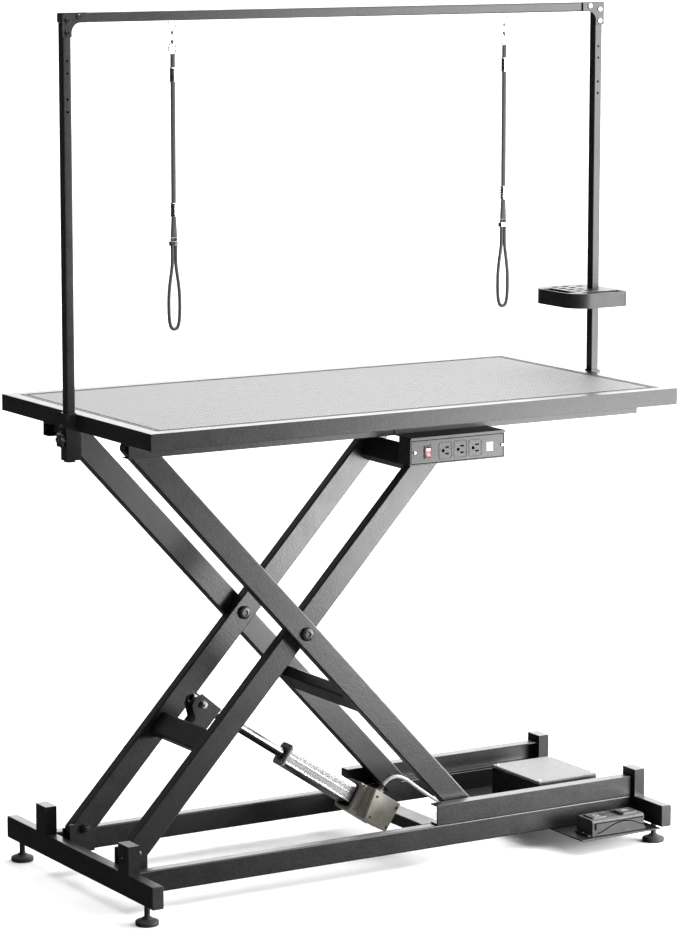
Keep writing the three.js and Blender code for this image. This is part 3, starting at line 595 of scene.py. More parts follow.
def finish_piece(name, bm, look, body, smooth=32, ease=0.0):
    """Turns the mesh, given in millimetres, into a shaded piece that rides on a body."""
    bmesh.ops.remove_doubles(bm, verts=bm.verts, dist=0.002)
    bmesh.ops.recalc_face_normals(bm, faces=bm.faces)
    bmesh.ops.scale(bm, vec=(MM, MM, MM), verts=bm.verts)
    mesh = bpy.data.meshes.new(name)
    bm.to_mesh(mesh)
    bm.free()
    piece = bpy.data.objects.new(name, mesh)
    bpy.context.scene.collection.objects.link(piece)
    mesh.shade_smooth()
    if ease:
        add_bevel(piece, ease)
    mesh.set_sharp_from_angle(angle=math.radians(smooth))
    if body:
        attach(piece, body)
    set_look(piece, look)
    return piece


def new_piece(name, look, body, draw, *shape, smooth=32, ease=0.0, **more):
    """A piece made by one drawing function: stack, slab, disc, frame_ring, loft or sweep."""
    bm = bmesh.new()
    draw(bm, *shape, **more)
    return finish_piece(name, bm, look, body, smooth, ease)


def add_bevel(piece, width):
    bevel = piece.modifiers.new("eased_edges", "BEVEL")
    bevel.width = width * MM
    bevel.segments = 2
    bevel.limit_method = "ANGLE"
    bevel.angle_limit = math.radians(40)
    bevel.harden_normals = True


def smooth_path(points, per_span=8):
    """Catmull-Rom curve through given points."""
    source = [Vector(p) for p in points]
    ends = [2 * source[0] - source[1], *source, 2 * source[-1] - source[-2]]
    path = []
    for a, b, c, d in zip(ends, ends[1:], ends[2:], ends[3:]):
        for step in range(per_span):
            t = step / per_span
            path.append(0.5 * (
                2 * b + (c - a) * t + (2 * a - 5 * b + 4 * c - d) * t ** 2
                + (3 * b - 3 * c + d - a) * t ** 3
            ))
    path.append(source[-1])
    return path


def path_length(path):
    return sum((b - a).length for a, b in zip(path, path[1:]))


def sweep(bm, path, outline, side=BACK):
    """Carries an outline along a path; side is the direction that its own X keeps to.
    outline is a list of points, or a function of the share of the path already passed."""
    total = path_length(path)
    passed = 0.0
    loops = []
    for i, point in enumerate(path):
        before = path[max(i - 1, 0)]
        after = path[min(i + 1, len(path) - 1)]
        passed += (point - before).length
        along = (after - before).normalized()
        x = (Vector(side) - along * along.dot(Vector(side))).normalized()
        y = along.cross(x)
        shape = outline(passed / total) if callable(outline) else outline
        loops.append([point + x * u + y * v for u, v in shape])
    loft(bm, loops)


def oval_outline(width, height, count):
    """A small oval section with its own number of points."""
    angles = [2 * math.pi * i / count for i in range(count)]
    return [(width / 2 * math.cos(a), height / 2 * math.sin(a)) for a in angles]


def ring_outline(radius, count):
    return oval_outline(2 * radius, 2 * radius, count)


# ---------- the CAD nodes' finish ----------

NODE_LOOKS = {
    "control_box": "plastic",
    "control_box_lid": "lid",
    "pedal_housing": "pedal",
    "tool_tray": "plastic",
    "tabletop_board": "board",
    "tabletop_mat": "mat",
    "actuator_housing": "case",
    **{f"{side}_{level}_roller": "wheel" for side in ("front", "back") for level in ("upper", "lower")},
}
EASE = {"tabletop_mat": 0.3, "power_faceplate": 0.4, "tool_tray": 1.6, "actuator_housing": 2.2}


def finish_node(name, node):
    look = NODE_LOOKS.get(name, "coat")
    node.data.materials.clear()
    node.data.shade_smooth()
    weld = node.modifiers.new("weld", "WELD")
    weld.merge_threshold = 0.00002
    flat = node.modifiers.new("merge_flat_faces", "DECIMATE")
    flat.decimate_type = "DISSOLVE"
    flat.angle_limit = math.radians(0.6)
    add_bevel(node, EASE.get(name, 0.8))
    even = node.modifiers.new("even_shading", "WEIGHTED_NORMAL")
    even.keep_sharp = True
    even.weight = 100
    set_look(node, look)


# ---------- fasteners and end caps ----------

def socket_screw(name, place, direction, radius, height, look, body):
    """A cap screw with a hexagon socket, standing on place."""
    socket = hexagon(radius * 0.95)
    return new_piece(name, look, body, stack, facing(place, direction), [
        (circle(radius), 0),
        (circle(radius), height * 0.75),
        (circle(radius * 0.9), height),
        (socket, height),
        (socket, height * 0.35),
    ])


def domed_bolt(name, place, direction, radius, height, look, body):
    """A low domed head with a hexagon socket over a thin washer."""
    washer = circle(radius * 1.18)
    base = 1.6
    layers = [(washer, 0), (washer, base)]
    for share in (0.0, 0.35, 0.65, 0.85, 0.96):
        layers.append((circle(radius * math.sqrt(1 - share ** 2 * 0.75)), base + height * share))
    socket = hexagon(radius * 0.72)
    layers += [(socket, base + height), (socket, base + height * 0.3)]
    return new_piece(name, look, body, stack, facing(place, direction), layers)


def hex_nut(name, place, direction, across, height, look, body):
    """A plain nut with a bolt end standing out of it."""
    matrix = facing(place, direction)
    return new_piece(name, look, body, stack, matrix, [
        (circle(across * 0.6), 0),
        (circle(across * 0.6), 1.4),
        (hexagon(across), 1.4),
        (hexagon(across), height - 0.8),
        (hexagon(across * 0.92), height),
        (circle(across * 0.3), height),
        (circle(across * 0.3), height + 2.6),
        (circle(across * 0.24), height + 3.4),
    ])


def pan_screw(name, place, direction, radius, look, body):
    """A small pan-head screw with a cross recess."""
    quarter = math.pi / 2
    half_arm = 0.3  # half of a cross arm's angle
    cross = radial(lambda a: radius * (0.5 if min(a % quarter, quarter - a % quarter) < half_arm else 0.2))
    return new_piece(name, look, body, stack, facing(place, direction), [
        (circle(radius), 0),
        (circle(radius), radius * 0.25),
        (circle(radius * 0.82), radius * 0.5),
        (circle(radius * 0.6), radius * 0.58),
        (cross, radius * 0.6),
        (cross, radius * 0.2),
    ])


def end_cap(name, place, direction, width, height, body):
    """A pressed-in tube cap: a thin rounded plate with a plug behind it."""
    bm = bmesh.new()
    matrix = facing(place, direction)
    slab(bm, matrix, width - 0.6, height - 0.6, 3.2, 0.1, 2.0, 0.7)
    slab(bm, matrix, width - 5, height - 5, 2.0, -12, 0.1, 0.3)
    finish_piece(name, bm, "plastic", body)


BEAM_WIDE = 26


def add_base_details():
    for side in ("left", "right"):
        low, high = box(f"{side}_end_frame")
        beam = box(f"{side}_front_levelling_foot")
        x = (beam[0].x + beam[1].x) / 2
        rail = box("front_base_rail")
        z = (rail[0].z + rail[1].z) / 2
        tall = rail[1].z - rail[0].z
        end_cap(f"{side}_beam_front_cap", (x, low.y, z), FRONT, BEAM_WIDE, tall, "base")
        end_cap(f"{side}_beam_back_cap", (x, high.y, z), BACK, BEAM_WIDE, tall, "base")
    low, _ = box("left_end_frame")
    track = box("front_roller_track")
    domed_bolt("stop_post_bolt", (low.x, track[0].y + 14, track[0].z + 28), LEFT, 5, 4, "coat", "base")


PLATE_OUTSIDE = 5.3  # from an inner arm's face to the far face of its pivot plate
PLUG = {"length": 40, "high": 49.6, "corner": 15, "half": 10.4, "out": 6.7}
ARM_NUT = 17  # across its flats


def add_arm_details():
    """Pivot bolts, nuts, spacers and end plugs of the four arms."""
    for side, sign in (("front", -1), ("back", 1)):
        outward = (0, sign, 0)
        inward = (0, -sign, 0)
        inner = box(f"{side}_inner_arm")
        outer = box(f"{side}_outer_arm")
        inner_out = inner[0].y if sign < 0 else inner[1].y
        outer_out = outer[0].y if sign < 0 else outer[1].y
        outer_in = outer[1].y if sign < 0 else outer[0].y
        inner_in = inner[1].y if sign < 0 else inner[0].y
        foot = Vector((ARM_PIVOT.x, inner_out + sign * PLATE_OUTSIDE, ARM_PIVOT.z))
        domed_bolt(f"{side}_foot_pivot_bolt", foot, outward, 9, 5, "coat", "base")
        plate = Vector((ARM_PIVOT.x, inner_in - sign * PLATE_OUTSIDE, ARM_PIVOT.z))
        hex_nut(f"{side}_foot_pivot_nut", plate, inward, ARM_NUT, 8, "coat", "base")
        roller = Vector((LOWER_ROLLER.x, outer_in, LOWER_ROLLER.z))
        hex_nut(f"{side}_lower_roller_nut", roller, inward, ARM_NUT, 2.4, "coat", "outer_arms")
        top = Vector((UPPER_ROLLER.x, inner_in, UPPER_ROLLER.z))
        hex_nut(f"{side}_upper_roller_nut", top, inward, ARM_NUT, 8, "coat", "inner_arms")
        hang = Vector((TABLE_PIVOT.x, outer_in, TABLE_PIVOT.z))
        hex_nut(f"{side}_table_pivot_nut", hang, inward, ARM_NUT, 8, "coat", "outer_arms")
        channel = box(f"{side}_table_channel")
        web = channel[0].y + 2.6 if sign < 0 else channel[1].y - 2.6
        start = Vector((TABLE_PIVOT.x, outer_out + sign * 0.4, TABLE_PIVOT.z))
        new_piece(f"{side}_table_pivot_boss", "coat", "table", disc,
                  facing(start, outward), 9.5, 0, abs(web - outer_out) - 0.5, 0.8)
        inner_y = (inner[0].y + inner[1].y) / 2
        outer_y = (outer[0].y + outer[1].y) / 2
        add_arm_plugs(f"{side}_inner_arm", ARM_PIVOT, UPPER_ROLLER, inner_y, "inner_arms")
        add_arm_plugs(f"{side}_outer_arm", LOWER_ROLLER, TABLE_PIVOT, outer_y, "outer_arms")


def add_arm_plugs(name, low, high, y, body):
    """Moulded plugs that fill an arm tube's two round-cornered ends."""
    along = (high - low).normalized()
    across = along.cross(Vector(BACK))
    outline = rounded(PLUG["length"], PLUG["high"], PLUG["corner"])
    for end, pivot, way in (("low", low, -1), ("high", high, 1)):
        centre = Vector((pivot.x, y, pivot.z)) + along * way * PLUG["out"]
        new_piece(f"{name}_{end}_plug", "plastic", body, stack,
                  facing(centre, BACK, up=across), [(outline, -PLUG["half"]), (outline, PLUG["half"])])


def add_feet():
    """Screw feet: a flat disc under a low cone, on a plain stem."""
    for side in ("left", "right"):
        for end in ("front", "back"):
            node = f"{side}_{end}_levelling_foot"
            low, high = box(node)
            body = f"{side}_{end}_foot"
            radius = (high.x - low.x) / 2
            matrix = facing(((low.x + high.x) / 2, (low.y + high.y) / 2, 0), UP)
            pad = new_piece(f"{node}_disc", "rubber", body, stack, matrix, [
                (circle(radius - 2.4), 0),
                (circle(radius - 0.5), 0.7),
                (circle(radius), 2),
                (circle(radius), 7.6),
                (circle(radius - 0.7), 8.8),
                (circle(radius - 2.6), 9.9),
                (circle(radius * 0.5), 13.2),
                (circle(radius * 0.44), 13.6),
                (circle(radius * 0.42), 15.4),
                (circle(radius * 0.36), 16.2),
            ])
            new_piece(f"{node}_stem", "rubber", body, stack,
                      matrix, [(circle(6), 15), (circle(6), high.z - 0.8), (circle(5.2), high.z)])
            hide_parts(node)


def add_crossing_bolts():
    for side in ("front", "back"):
        node = f"{side}_crossing_bolt"
        low, high = box(node)
        middle = Vector(((low.x + high.x) / 2, 0, (low.z + high.z) / 2))
        thick = 6.7
        radius = (high.x - low.x) / 2
        matrix = facing((middle.x, low.y, middle.z), BACK)
        length = high.y - low.y
        dome = [(0.62, 0.0), (0.8, 0.1), (0.92, 0.28), (0.98, 0.5), (1.0, 0.75), (1.0, 1.0)]
        layers = [(hexagon(radius * 0.8), 2.6), (hexagon(radius * 0.8), 0)]
        layers += [(circle(radius * r), thick * h) for r, h in dome]
        layers += [(circle(8), thick), (circle(8), length - thick)]
        layers += [(circle(radius * r), length - thick * h) for r, h in reversed(dome)]
        bolt = new_piece(f"{node}_domed", "coat", "inner_arms", stack, matrix, layers)
        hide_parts(node)


# ---------- control box and pedal ----------

RIB_RISE = 38  # the ribs' middle above the control box's underside


def add_control_box_details():
    """The lid's screws and the ribs on the box's front."""
    low, high = box("control_box_lid")
    rib_z = round(box("control_box")[0].z) + RIB_RISE
    for x in (low.x + 10, high.x - 10):
        for y in (low.y + 10, high.y - 10):
            name = f"lid_screw_{int(x)}_{int(y)}".replace("-", "m")
            pan_screw(name, (x, y, high.z - 0.4), UP, 3.2, "screw", "base")
    for slot in range(6):
        x = low.x + 54 + slot * 10
        new_piece(f"control_box_rib_{slot}", "plastic", "base", slab,
                  facing((x, low.y - 0.1, rib_z), FRONT), 4, 30, 1.8, -0.6, 0.9, 0.5)


ARCH = (  # shares of the pedal's width, and heights there
    (0.1, 5), (0.2, 8), (0.32, 15), (0.46, 21.5), (0.6, 24), (0.74, 22), (0.86, 16), (0.95, 11), (1.0, 10),
)


def add_pedal():
    """Two-key foot control: a moulding with an arched panel in front and a hollow between the keys."""
    low, high = box("pedal_housing")
    front = low.y
    left = low.x + 8
    right = high.x - 8
    top = high.z
    middle_y = (low.y + high.y) / 2
    curve = smooth_path([(left + share * (right - left), 0, low.z + rise) for share, rise in ARCH], 4)
    outline = [*curve, Vector((right, 0, low.z + 0.4)), Vector((left + 8, 0, low.z + 0.4))]
    new_piece("pedal_arch_panel", "pedal", "base", loft,
              [[Vector((p.x, y, p.z)) for p in outline] for y in (front + 0.4, front - 1.3)], ease=0.5)
    # Painted shade: the arch groove is a strip of dark recess colour standing in for its shade.
    new_piece("pedal_arch_groove", "recess", "base", sweep,
              [Vector((p.x, front - 0.1, p.z + 0.9)) for p in curve], ring_outline(1.3, 8))
    # Painted shade along the seam below the pedal's top.
    seam = [Vector((x, front - 0.05, top - 8)) for x in (left + 5, right - 3)]
    new_piece("pedal_seam", "recess", "base", sweep, seam, ring_outline(1.0, 8))
    # Painted shade inside the slot.
    new_piece("pedal_slot", "recess", "base", slab,
              facing((left + 8, front, low.z + 20), FRONT), 5.4, 13, 1, -0.4, 0.35, 0.1)
    for side, x in (("left", low.x + 4.6), ("right", high.x - 4.6)):
        pan_screw(f"pedal_flange_screw_{side}", (x, middle_y, low.z + 3.4), UP, 2.4, "screw", "base")
    new_piece("pedal_flange_block", "pedal", "base", slab,
              facing((high.x - 6.5, middle_y - 2, low.z + 3.4), UP), 9, 22, 2, 0, 6.5, 0.8)
    for way, turn in (("up", 1), ("down", -1)):
        add_pedal_key(way, turn)


def add_pedal_key(way, turn):
    """A dished key with a raised arrow and a short bar."""
    node = f"pedal_{way}_key"
    low, high = box(node)
    centre = (low + high) / 2
    size = high - low
    top = size.z
    matrix = facing((centre.x, centre.y, low.z), UP)
    key = new_piece(f"{node}_cap", "plastic", f"pedal_{way}", stack, matrix, [
        (rounded(size.x, size.y, 4), 0),
        (rounded(size.x, size.y, 4), top - 3),
        (rounded(size.x - 1, size.y - 1, 4), top - 1.2),
        (rounded(size.x - 4, size.y - 4, 3.5), top),
        (rounded(size.x - 8, size.y - 8, 3), top - 0.9),
        (rounded(size.x - 20, size.y - 20, 2.5), top - 1.6),
    ])
    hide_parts(node)
    rise = top - 1.5
    tip = 7 * turn
    left = [(-7, -tip * 0.2), (-6, -tip * 0.35)]
    right = [(-x, y) for x, y in reversed(left)]
    arrow = [*left, (0, tip * 0.75), *right, (0, tip)]
    if turn < 0:
        arrow.reverse()
    bar = [(-6, -tip - 0.6), (6, -tip - 0.6), (6, -tip + 0.6), (-6, -tip + 0.6)]
    for index, shape in enumerate((arrow, bar)):
        new_piece(f"{node}_mark_{index}", "white", f"pedal_{way}", loft,
                  [[matrix @ Vector((x, y, h)) for x, y in shape] for h in (rise, rise + 0.8)])


# ---------- actuator ----------

def actuator_frame():
    """Frame at the rear pin with +X away from the rod and +Z up out of the case."""
    x = -STROKE
    y = Vector(BACK)
    z = x.cross(y)
    matrix = Matrix((x, y, z)).transposed().to_4x4()
    matrix.translation = REAR_PIN
    return matrix


ROD_FRAME = actuator_frame()


def local_facing(place, direction):
    """A frame at a point given in the actuator's own frame."""
    turned = ROD_FRAME.to_3x3() @ Vector(direction)
    return facing(ROD_FRAME @ Vector(place), turned, up=ROD_FRAME.to_3x3() @ Vector(UP))


CASE = {"left": -71, "right": 5, "half": 34, "front": -68}
COVER_SCREWS = ((-58, 21), (0, 22), (-50, -25), (-1, -26))
LUG = (-73, -31, -40, 27)  # its x, its back and front faces, and its z


def case_outline(inset):
    """The gear case seen from the front; its left edge leans in a shallow curve."""
    left, right, half = CASE["left"], CASE["right"], CASE["half"]
    points = []
    for u, v in rounded(right - left - 2 * inset, 2 * (half - inset), 4):
        x = u + (right + left) / 2
        t = (1 - v / half) / 2
        edge = (1 - t) ** 2 * left + 2 * t * (1 - t) * (left + 7) + t ** 2 * (left + 12)
        points.append((right - (right - x) * (right - edge) / (right - left), v))
    return points


def add_actuator():
    """Case cover and its screws, fluted tube with its collar, and the rod."""
    front = local_facing((0, CASE["front"], 0), FRONT)
    new_piece("case_cover", "case", "actuator", stack, front, [
        (case_outline(1.6), -0.3),
        (case_outline(1.6), 0.5),
        (case_outline(0.5), 0.5),
        (case_outline(0.5), 2.0),
        (case_outline(1.3), 2.6),
    ])
    # A thin ring of painted shade along the seam behind the gear case's cover.
    new_piece("case_seam_shade", "recess", "actuator", frame_ring,
              front, case_outline(-0.25), case_outline(1.5), -8.6, -7.8)
    for index, (x, z) in enumerate(COVER_SCREWS):
        place = ROD_FRAME @ Vector((x, CASE["front"] - 2.6, z))
        socket_screw(f"cover_screw_{index}", place, FRONT, 2.6, 1.6, "coat", "actuator")
    x, near, far, z = LUG
    new_piece("case_lug", "case", "actuator", slab,
              local_facing((x, near, z), FRONT), 13, 12, 4, 0, near - far, 1.2)
    place = ROD_FRAME @ Vector((x, far, z))
    socket_screw("lug_screw", place, FRONT, 2.8, 1.8, "screw", "actuator")
    add_fluted_tube()
    add_rod()


TUBE = {"low": -273, "high": -60, "mouth": -80, "half_wide": 22, "half_high": 25, "corner": 8}
GROOVE_DEEP = 1.6


def tube_outline():
    """The aluminium profile's section, with two shallow grooves along each side face."""
    y = TUBE["half_wide"]
    z = TUBE["half_high"]
    corner = TUBE["corner"]
    deep = y - GROOVE_DEEP
    side = [(-y, -z + corner)]
    for low, high in ((-14, -11), (2.6, 5.6)):
        side += [(-y, low), (-deep, low + 0.6), (-deep, high - 0.6), (-y, high)]
    side.append((-y, z - corner))
    for step in range(1, 9):
        angle = math.pi - math.pi / 2 * step / 8
        side.append((-y + corner + corner * math.cos(angle), z - corner + corner * math.sin(angle)))
    return side + [(-a, -b) for a, b in side]


def add_fluted_tube():
    """Grooved profile between the case's neck and a thin collar with the rod's wiper."""
    ends = (TUBE["low"], TUBE["high"])
    rings = [[ROD_FRAME @ Vector((x, y, z)) for y, z in tube_outline()] for x in ends]
    tube = new_piece("fluted_tube", "aluminium", "actuator", loft, rings, ease=0.4)
    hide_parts("actuator_tube")
    mouth = local_facing((TUBE["mouth"], 0, 0), LEFT)
    new_piece("neck_gasket", "rubber", "actuator", frame_ring,
              mouth, rounded(50, 57, 11), rounded(43.4, 49.4, 8), 0.1, 2.4, ease=0.4)
    end = local_facing((TUBE["low"], 0, 0), LEFT)
    new_piece("end_collar", "lid", "actuator", frame_ring,
              end, rounded(45, 51, 9), rounded(26, 26, 12.9), 0.1, 5, ease=0.7)
    new_piece("rod_wiper", "rubber", "actuator", frame_ring,
              end, circle(14.5), circle(11.4), 5, 8, ease=0.6)
    along = ROD_FRAME.to_3x3() @ Vector(LEFT)
    for index, (y, z) in enumerate(((-15, 18), (15, 18), (-15, -18), (15, -18))):
        place = ROD_FRAME @ Vector((TUBE["low"] - 5, y, z))
        socket_screw(f"collar_screw_{index}", place, along, 2.4, 1.2, "screw", "actuator")


ROD = {"radius": 11, "bore": 7.5, "bore_deep": 30, "beyond": 24, "inner": -228}
ROD_TIP = box("actuator_rod")[0]
ROD_LENGTH = (REAR_PIN.x - ROD_TIP.x - ROD["radius"] * STROKE.z) / -STROKE.x - ROD["beyond"]
CLEVIS_HALF = 18.6  # outer faces of the clevis plates from the middle line


def add_rod():
    """Chrome rod with its hollow end, and the pin's nuts outside the clevis plates."""
    tip = ROD_LENGTH + ROD["beyond"]
    radius = ROD["radius"]
    bore = ROD["bore"]
    rod = new_piece("polished_rod", "ground", "rod", stack, local_facing((-tip, 0, 0), RIGHT), [
        (circle(bore), ROD["bore_deep"]),
        (circle(bore), 0.6),
        (circle(bore + 0.6), 0),
        (circle(radius - 0.6), 0),
        (circle(radius), 0.6),
        (circle(radius), tip + ROD["inner"]),
    ])
    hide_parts("actuator_rod")
    pin = ROD_FRAME @ Vector((-ROD_LENGTH, 0, 0))
    for side, sign in (("front", -1), ("back", 1)):
        place = pin + Vector((0, sign * CLEVIS_HALF, 0))
        hex_nut(f"{side}_clevis_nut", place, (0, sign, 0), 13, 7, "screw", "inner_arms")


CABLE_ROUTE = [
    (99.2, 0, 128.6),
    (102.5, -0.5, 133.6),
    (109, -3, 143),
    (119, -7, 151.5),
    (134, -12, 155.8),
    (153, -17, 148.5),
    (168, -22, 136.5),
    (184, -27, 123.5),
    (209, -37, 104),
    (230, -42, 91),
    (258, -46, 77),
    (290, -50, 64.5),
    (325, -54, 56),
    (360, -57, 53),
    (390, -59, 55.5),
    (408, -60, 60.5),
    (422, -60, 64.8),
    (430, -60, 66),
    (437.5, -60, 66),
]
CABLE_DIAMETER = 7.5
TABLE_CENTRE = Vector((-6.6, -8.25, 0))  # from the route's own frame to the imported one


def relief_outline(share):
    """A strain relief's ribbed taper, at a share of its length."""
    return ring_outline(6.4 - 2.2 * share + 0.35 * math.cos(share * 44), 20)


def add_motor_cable():
    """The grey lead from the gear case to the control box, with a tapered relief at each end."""
    path = smooth_path([Vector(p) + TABLE_CENTRE for p in CABLE_ROUTE], 5)
    cable = new_piece("motor_lead", "cable", None, sweep, path, ring_outline(CABLE_DIAMETER / 2, 16))
    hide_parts("motor_cable")
    for name, ends, body in (("case", path[:9], "actuator"), ("box", path[-1:-9:-1], "base")):
        new_piece(f"{name}_strain_relief", "plastic", body, sweep, ends, relief_outline)
    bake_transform(cable)


# ---------- power box ----------

SOCKETS_AT = (43.4, 80.5, 117.6)  # to the right of the rocker's middle
USB_AT = 153.5
FACE_SUNK = 3  # the sockets' face behind the faceplate's rim


def add_power_box_details():
    """Sockets, rocker, charging module and screws on the power box's face."""
    low, high = box("power_faceplate")
    rocker = box("power_switch_rocker")
    rocker_middle = (rocker[0] + rocker[1]) / 2
    face = low.y + FACE_SUNK
    z = rocker_middle.z
    base_x = rocker_middle.x
    for index, offset in enumerate(SOCKETS_AT):
        matrix = facing((base_x + offset, face, z), FRONT)
        new_piece(f"socket_frame_{index}", "plastic", "table", frame_ring,
                  matrix, rounded(32, 36, 4), rounded(29.4, 33.4, 3), -0.2, 0.7, ease=0.3)
        # Painted shade: a dark recess colour fills each socket's inside.
        new_piece(f"socket_body_{index}", "recess", "table", slab,
                  facing((base_x + offset, face + 4.5, z), FRONT), 33, 37, 3, -12, 0, 0.4)
    wide = high.x - low.x - 4
    tall = high.z - low.z - 9
    # Painted shade: a thin dark ring along the seam round the faceplate.
    seam = facing(((low.x + high.x) / 2, face, (low.z + high.z) / 2 - 2.4), FRONT)
    new_piece("faceplate_seam", "recess", "table", frame_ring,
              seam, rounded(wide, tall, 1.5), rounded(wide - 3, tall - 3, 1), -0.2, 0.25)
    add_rocker(face, z, base_x)
    add_usb(face, z, base_x + USB_AT)
    for side, x in (("left", low.x + 11), ("right", high.x - 6.5)):
        pan_screw(f"faceplate_screw_{side}", (x, face, z + 1), FRONT, 3.6, "screw", "table")


ROCKER = {"half_wide": 5.7, "half_high": 9.7}


def add_rocker(face, z, x):
    """Bezel, rounded rocker cap and its two marks."""
    matrix = facing((x, face, z), FRONT)
    new_piece("rocker_bezel", "plastic", "table", frame_ring,
              matrix, rounded(18, 27, 2.5), rounded(12.2, 21.2, 1.2), -0.4, 2.0, ease=0.5)
    half = ROCKER["half_high"]
    profile = [  # how far it stands out of the face, and its height
        (-5, -half + 2), (1.4, -half), (4.2, -half + 0.6), (2.9, -half + 5), (1.9, 0),
        (2.5, half - 5), (2.9, half - 0.6), (1.0, half), (-5, half - 2),
    ]
    loops = []
    for side in (-ROCKER["half_wide"], ROCKER["half_wide"]):
        loops.append([Vector((x + side, face - depth, z + height)) for depth, height in profile])
    piece = new_piece("rocker_cap", "red", "switch", loft, loops, ease=0.5)
    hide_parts("power_switch_rocker")
    for name, height in (("upper", 5.4), ("lower", -5.6)):
        bm = bmesh.new()
        mark = facing((x, face - 2.5, z + height), FRONT)
        if name == "upper":
            slab(bm, mark, 0.8, 4, 0.3, -0.3, 0.35, 0.1)
        else:
            frame_ring(bm, mark, circle(2.0), circle(1.4), -0.2, 0.9)
        finish_piece(f"rocker_mark_{name}", bm, "white", "switch")


def add_usb(face, z, x):
    """White charging module: a plate with two ports, each with its tongue."""
    new_piece("usb_module", "white", "table", slab,
              facing((x, face, z), FRONT), 16.4, 19.4, 1.2, -9, 0.6, 0.4)
    for name, offset in (("upper", 4.8), ("lower", -4.8)):
        matrix = facing((x, face - 0.4, z + offset), FRONT)
        new_piece(f"usb_port_{name}", "screw", "table", frame_ring,
                  matrix, rounded(13.4, 6.4, 0.8), rounded(12.2, 5.2, 0.5), 0.1, 0.5)
        new_piece(f"usb_tongue_{name}", "plastic", "table", slab,
                  facing((x, face - 0.4, z + offset + 0.6), FRONT), 10.6, 1.7, 0.3, 0.1, 0.45, 0.1)


# ---------- table edge ----------

def add_mat_edging():
    """Two thin seams round the mat, drawn as rings of painted shade."""
    low, high = box("tabletop_mat")
    middle = (low + high) / 2
    wide = high.x - low.x
    deep = high.y - low.y
    matrix = facing((middle.x, middle.y, high.z), UP, up=BACK)
    for name, inset in (("outer", -0.2), ("inner", 9)):
        outer = rounded(wide - 2 * inset, deep - 2 * inset, 1)
        inner = rounded(wide - 2 * inset - 6, deep - 2 * inset - 6, 1)
        new_piece(f"mat_{name}_seam", "recess", "table", frame_ring, matrix, outer, inner, -0.3, 0.3)


# ---------- gantry ----------

CLAMP_BOLT_DROP = 30  # below the clamp's top


def add_gantry_details():
    """Tube caps, bracket screws, clamp bolts and knobs."""
    bar_low, bar_high = box("crossbar")
    bar_z = (bar_low.z + bar_high.z) / 2
    y = (bar_low.y + bar_high.y) / 2
    size = bar_high.z - bar_low.z
    end_cap("crossbar_left_cap", (bar_low.x, y, bar_z), LEFT, size, size, "gantry")
    end_cap("crossbar_right_cap", (bar_high.x, y, bar_z), RIGHT, size, size, "gantry")
    for side, sign in (("left", -1), ("right", 1)):
        low, high = box(f"{side}_upright")
        x = (low.x + high.x) / 2
        end_cap(f"{side}_upright_foot_cap", (x, y, low.z), DOWN, size, size, "gantry")
        plate_low, _ = box(f"{side}_corner_bracket")
        for index, (inward, drop) in enumerate(((0, 15.4), (0, 40), (26, 8))):
            place = (x - sign * inward, plate_low.y, bar_high.z - drop)
            socket_screw(f"{side}_bracket_screw_{index}", place, FRONT, 4.6, 3.0, "plate", "gantry")
        clamp_low, clamp_high = box(f"{side}_upright_clamp")
        wall = clamp_low.x if sign < 0 else clamp_high.x
        bolt = (wall, y, round(clamp_high.z) - CLAMP_BOLT_DROP)
        hex_nut(f"{side}_clamp_bolt", bolt, (sign, 0, 0), 13, 7, "coat", "table")
        add_knob(side, sign)


def add_knob(side, sign):
    """Six-lobed hand knob with a plated insert."""
    node = f"{side}_clamp_knob"
    low, high = box(node)
    centre = (low + high) / 2
    start = Vector((high.x if sign < 0 else low.x, centre.y, centre.z))
    knob = new_piece(f"{node}_moulding", "plastic", f"{side}_knob", stack, facing(start, (sign, 0, 0)), [
        (circle(8.5), 0),
        (circle(8.5), 2.4),
        (star(14.6, 3.4, 6), 3.0),
        (star(16.1, 4.0, 6), 4.6),
        (star(16.1, 4.0, 6), 9.6),
        (star(14.8, 3.8, 6), 11.4),
        (star(12.4, 2.4, 6), 12.0),
        (circle(5.4), 11.4),
        (circle(5.2), 10.6),
    ])
    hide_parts(node)
    new_piece(f"{node}_insert", "plate", f"{side}_knob", disc,
              facing(start, (sign, 0, 0)), 4.4, 10.4, 11.4, 0.4)


# ---------- nooses ----------

def noose_heights():
    """Heights along a noose, from the left one's nodes; both hang alike."""
    strap_low, strap_high = box("left_noose_cord")
    slider_low, slider_high = box("left_noose_slider")
    loop_low, _ = box("left_noose_loop")
    top = round(strap_high.z, 1)
    end = round(strap_low.z, 1)
    slider = round((slider_low.z + slider_high.z) / 2, 1)
    return {
        "ring_top": top + 14,
        "ring_low": top - 13,
        "ferrule": (top - 67, top - 38),
        "lock": (end + 42.5, end + 70.5),
        "slider": slider,
        "split": slider - 51.5,
        "bottom": round(loop_low.z, 1) + 2.7,
    }


NOOSE = noose_heights()


def loop_points(x, y):
    """The loop's centreline: down one side, round the bottom and up the other."""
    top = NOOSE["slider"]
    side = [
        (4, top + 11),
        (4, NOOSE["split"] + 20),
        (5.2, NOOSE["split"]),
        (10, NOOSE["split"] - 32),
        (12.6, NOOSE["split"] - 62),
        (12, NOOSE["bottom"] + 26),
        (8, NOOSE["bottom"] + 6),
    ]
    right = [(x + dx, y, z) for dx, z in side]
    left = [(x - dx, y, z) for dx, z in reversed(side)]
    return [*right, (x, y, NOOSE["bottom"] + 1), *left]


def add_noose(side):
    _, hook_high = box(f"{side}_noose_hook")
    cord_low, cord_high = box(f"{side}_noose_cord")
    x = (cord_low.x + cord_high.x) / 2
    y = (cord_low.y + cord_high.y) / 2
    body = f"{side}_noose"
    add_hook(side, x, y, hook_high.z)
    add_ring(side, x, y, body)
    pieces = [add_ferrule(side, x, y, body), add_lock(side, x, y, body)]
    add_strap(side, x, y, body, add_slider(side, x, y))


